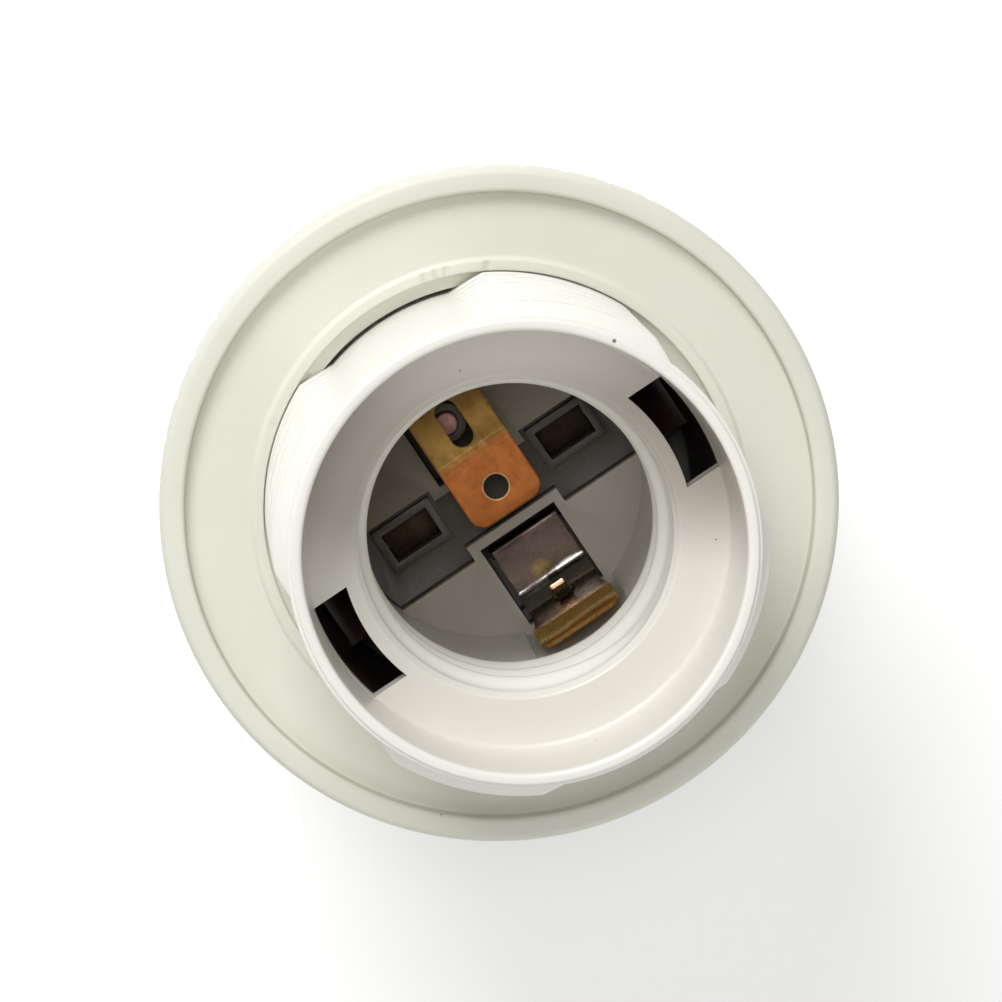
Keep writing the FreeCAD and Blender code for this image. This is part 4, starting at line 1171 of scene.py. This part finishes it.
@dataclass(frozen=True)
class SideContact:
    """Plate in its pocket, step, upright leaf with a lanced tongue, and flared rolled tip."""

    sheet: float = 0.4
    middle_x: float = 0.15
    plate_width: float = 7.1
    plate_top: float = 18.0
    plate_y: Pair = (-5.3, -10.4)
    plate_length: float = 5.1
    step: Pair = (1.6, 0.6)              # run of the step, and what its bends take off
    foot_z: float = 19.8
    leaf_back: float = -11.8
    leaf_height: float = 9.8
    flare_from: float = 0.6
    tip_width: float = 8.1
    tip_corner: float = 1.2
    bends: tuple[float, ...] = (0.3, 0.7, 0.7, 2.4)
    tongue_half: float = 0.75
    tongue_from: float = 0.9
    tongue_length: float = 2.4
    tongue_rise: float = 1.6
    slit: float = 0.25

    def build(self, palette: Palette) -> None:
        """Make the contact and seat it on its spring body."""
        low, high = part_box("side_contact")
        half_sheet = self.sheet / 2.0
        tail_y, plate_z = self.plate_y[0] - half_sheet, self.plate_top - half_sheet
        leaf_y = self.leaf_back - half_sheet
        path = FoldPath([(tail_y, low.z / MM), (tail_y, plate_z), (self.plate_y[1], plate_z),
                         (leaf_y, self.foot_z), (leaf_y, self.foot_z + self.leaf_height),
                         (leaf_y - 1.0, high.z / MM - 0.1)], self.bends)
        plate_end = plate_z - low.z / MM + self.plate_length
        foot = plate_end + math.hypot(self.step[0], self.foot_z - plate_z) - self.step[1]
        flare, tip = foot + self.leaf_height * self.flare_from, foot + self.leaf_height
        half, wide = self.plate_width / 2.0, self.tip_width / 2.0
        outline = mirrored_loop(self.middle_x, [(half, 0.0, 0.1), (half, flare, 2.0), (wide, tip, 1.0),
                                                (wide, path.end, self.tip_corner)])
        start = foot + self.tongue_from
        end = start + self.tongue_length
        inner, outer = self.tongue_half, self.tongue_half + self.slit
        slit = mirrored_loop(self.middle_x, [(inner, end, 0.15), (inner, start, 0.06), (outer, start, 0.06),
                                             (outer, end + self.slit, 0.2)], 0.12)
        contact = folded("side_leaf", path, [outline, slit], self.sheet, palette["leaf_brass"],
                         lambda u, v: self.tongue(u, v, start, end + self.slit * 0.5))
        seat(contact, "side_contact", Body.SIDE_SPRING)

    def tongue(self, u: Array, v: Array, start: float, end: float) -> Array:
        """Return how far the tongue between two distances stands out of the leaf, ever more steeply."""
        along = np.clip((v - start) / (end - start), 0.0, 1.0)
        on_it = (np.abs(u - self.middle_x) < self.tongue_half + 0.02) & (v > start) & (v < end)
        return np.where(on_it, -self.tongue_rise * along ** 1.3, 0.0)


# ---- Small parts ----


@dataclass(frozen=True)
class SmallPart:
    """A solid of the holder that keeps its form and gets broken edges."""

    node: str
    edge: float
    slot: str
    finish: str = ""

    def build(self, palette: Palette) -> None:
        """Copy the solid's mesh, merge it, break its edges and seat it."""
        grid = bmesh.new()
        grid.from_mesh(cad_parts[self.node].data)
        bmesh.ops.remove_doubles(grid, verts=grid.verts, dist=MERGE * MM)
        bmesh.ops.dissolve_limit(grid, angle_limit=math.radians(FLAT), verts=grid.verts, edges=grid.edges)
        piece = bevelled(self.node + "_soft", grid, self.edge, 40.0, palette[self.finish or self.slot], 40.0)
        seat(piece, self.node, Body.HOLDER)


SMALL_PARTS = (
    SmallPart("contact_carrier", 0.18, "carrier_plastic"),
    SmallPart("centre_rivet", 0.05, "rivet_copper"),
    *(SmallPart(f"{pole}_bus_strip", 0.08, "strip_brass", "terminal_brass") for pole in ("live", "neutral")),
    *(SmallPart(f"{pole}_terminal_block", 0.1, "terminal_brass") for pole in ("live", "neutral")),
    *(SmallPart(f"{place}_screw", 0.06, "screw_steel")
      for place in ("live_terminal", "neutral_terminal", "neck_lock")),
)


# ---- Studio ----


@dataclass(frozen=True)
class Lamp:
    """A round soft light, turned to the object; angles in degrees, sizes in millimetres."""

    name: str
    azimuth: float
    elevation: float
    watts: float
    size: float = 340.0
    distance: float = 600.0

    def build(self, target: Vector) -> None:
        """Hang the light round a target in metres."""
        azimuth, elevation = math.radians(self.azimuth), math.radians(self.elevation)
        direction = Vector((math.cos(azimuth) * math.cos(elevation), math.sin(azimuth) * math.cos(elevation),
                            math.sin(elevation)))
        data = bpy.data.lights.new(self.name, "AREA")
        data.shape = "DISK"
        data.size = self.size * MM
        data.energy = self.watts
        lamp = bpy.data.objects.new(self.name, data)
        lamp.location = target + direction * self.distance * MM
        lamp.rotation_euler = direction.to_track_quat("Z", "Y").to_euler()
        bpy.context.scene.collection.objects.link(lamp)


@dataclass(frozen=True)
class Studio:
    """White floor, soft lights, bright surroundings and a long lens over the mouth."""

    target: Triple = (0.26, -0.06, 31.0)
    towards: Triple = (0.0151, 0.1585, 0.987)
    up: Triple = (0.557, 0.818, -0.140)
    distance: float = 428.0
    lens: float = 174.3
    sensor: float = 36.0
    lamps: tuple[Lamp, ...] = (Lamp("key", 82.0, 36.0, 2.7), Lamp("top", 80.0, 74.0, 0.4, 160.0),
                               Lamp("fill", 206.0, 40.0, 0.35), Lamp("low_fill", -94.0, 28.0, 0.55))
    surround: float = 0.34
    surround_tone: Colour = (1.0, 0.985, 0.955)
    floor_tone: Colour = (0.85, 0.85, 0.85)
    floor_glow: float = 0.3
    floor_reach: float = 1500.0

    def build(self) -> None:
        """Make the floor, the lights, the surroundings and the camera."""
        self.floor()
        for lamp in self.lamps:
            lamp.build(Vector(self.target) * MM)
        self.surroundings()
        self.camera()
        bpy.context.scene.view_settings.view_transform = "Standard"

    def floor(self) -> None:
        """Make a wide floor under the neck."""
        plan = self.floor_reach * np.array([(-1, -1, 0), (1, -1, 0), (1, 1, 0), (-1, 1, 0)])
        shader = Shader("floor_white", (0.0, 0.0, 0.0))
        shader.paint(shader.seen(), (self.floor_glow,) * 3)
        material = shader.principled(Base_Color=(*self.floor_tone, 1.0), Roughness=0.9,
                                     Specular_IOR_Level=0.1, Emission_Color=shader.colour,
                                     Emission_Strength=1.0)
        dressed("floor", meshed("floor", plan, [(0, 1, 2, 3)]), material)

    def surroundings(self) -> None:
        """Set bright surroundings that the camera sees as plain white."""
        world = bpy.data.worlds.new("surroundings")
        world.use_nodes = True
        graph = Graph(world.node_tree)
        dim, white = (graph.node("Background", None, {"Color": (*tone, 1.0), "Strength": strength})
                      for tone, strength in ((self.surround_tone, self.surround), ((1.0, 1.0, 1.0), 1.0)))
        graph.show("World", graph.node("MixShader", None, {"Fac": graph.seen(), 1: dim, 2: white}))
        bpy.context.scene.world = world

    def camera(self) -> None:
        """Set the camera over the mouth."""
        back = Vector(self.towards).normalized()
        up = Vector(self.up)
        up = (up - up.dot(back) * back).normalized()
        data = bpy.data.cameras.new("camera")
        data.lens = self.lens
        data.sensor_width = self.sensor
        data.clip_start = 0.01
        camera = bpy.data.objects.new("camera", data)
        camera.matrix_world = Matrix((up.cross(back), up, back)).transposed().to_4x4()
        camera.location = (Vector(self.target) + back * self.distance) * MM
        bpy.context.scene.collection.objects.link(camera)
        bpy.context.scene.camera = camera


def main() -> None:
    """Dress the frame and light it."""
    logging.basicConfig(level=logging.INFO, format="%(name)s: %(message)s")
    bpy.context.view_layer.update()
    palette = {finish.name: finish.build() for finish in FINISHES}
    for piece in (FrontSleeve(), ShadeRing(), RearCap(), CentreContact(), SideContact(), *SMALL_PARTS):
        piece.build(palette)
    Studio().build()


if __name__ == "__main__":
    main()
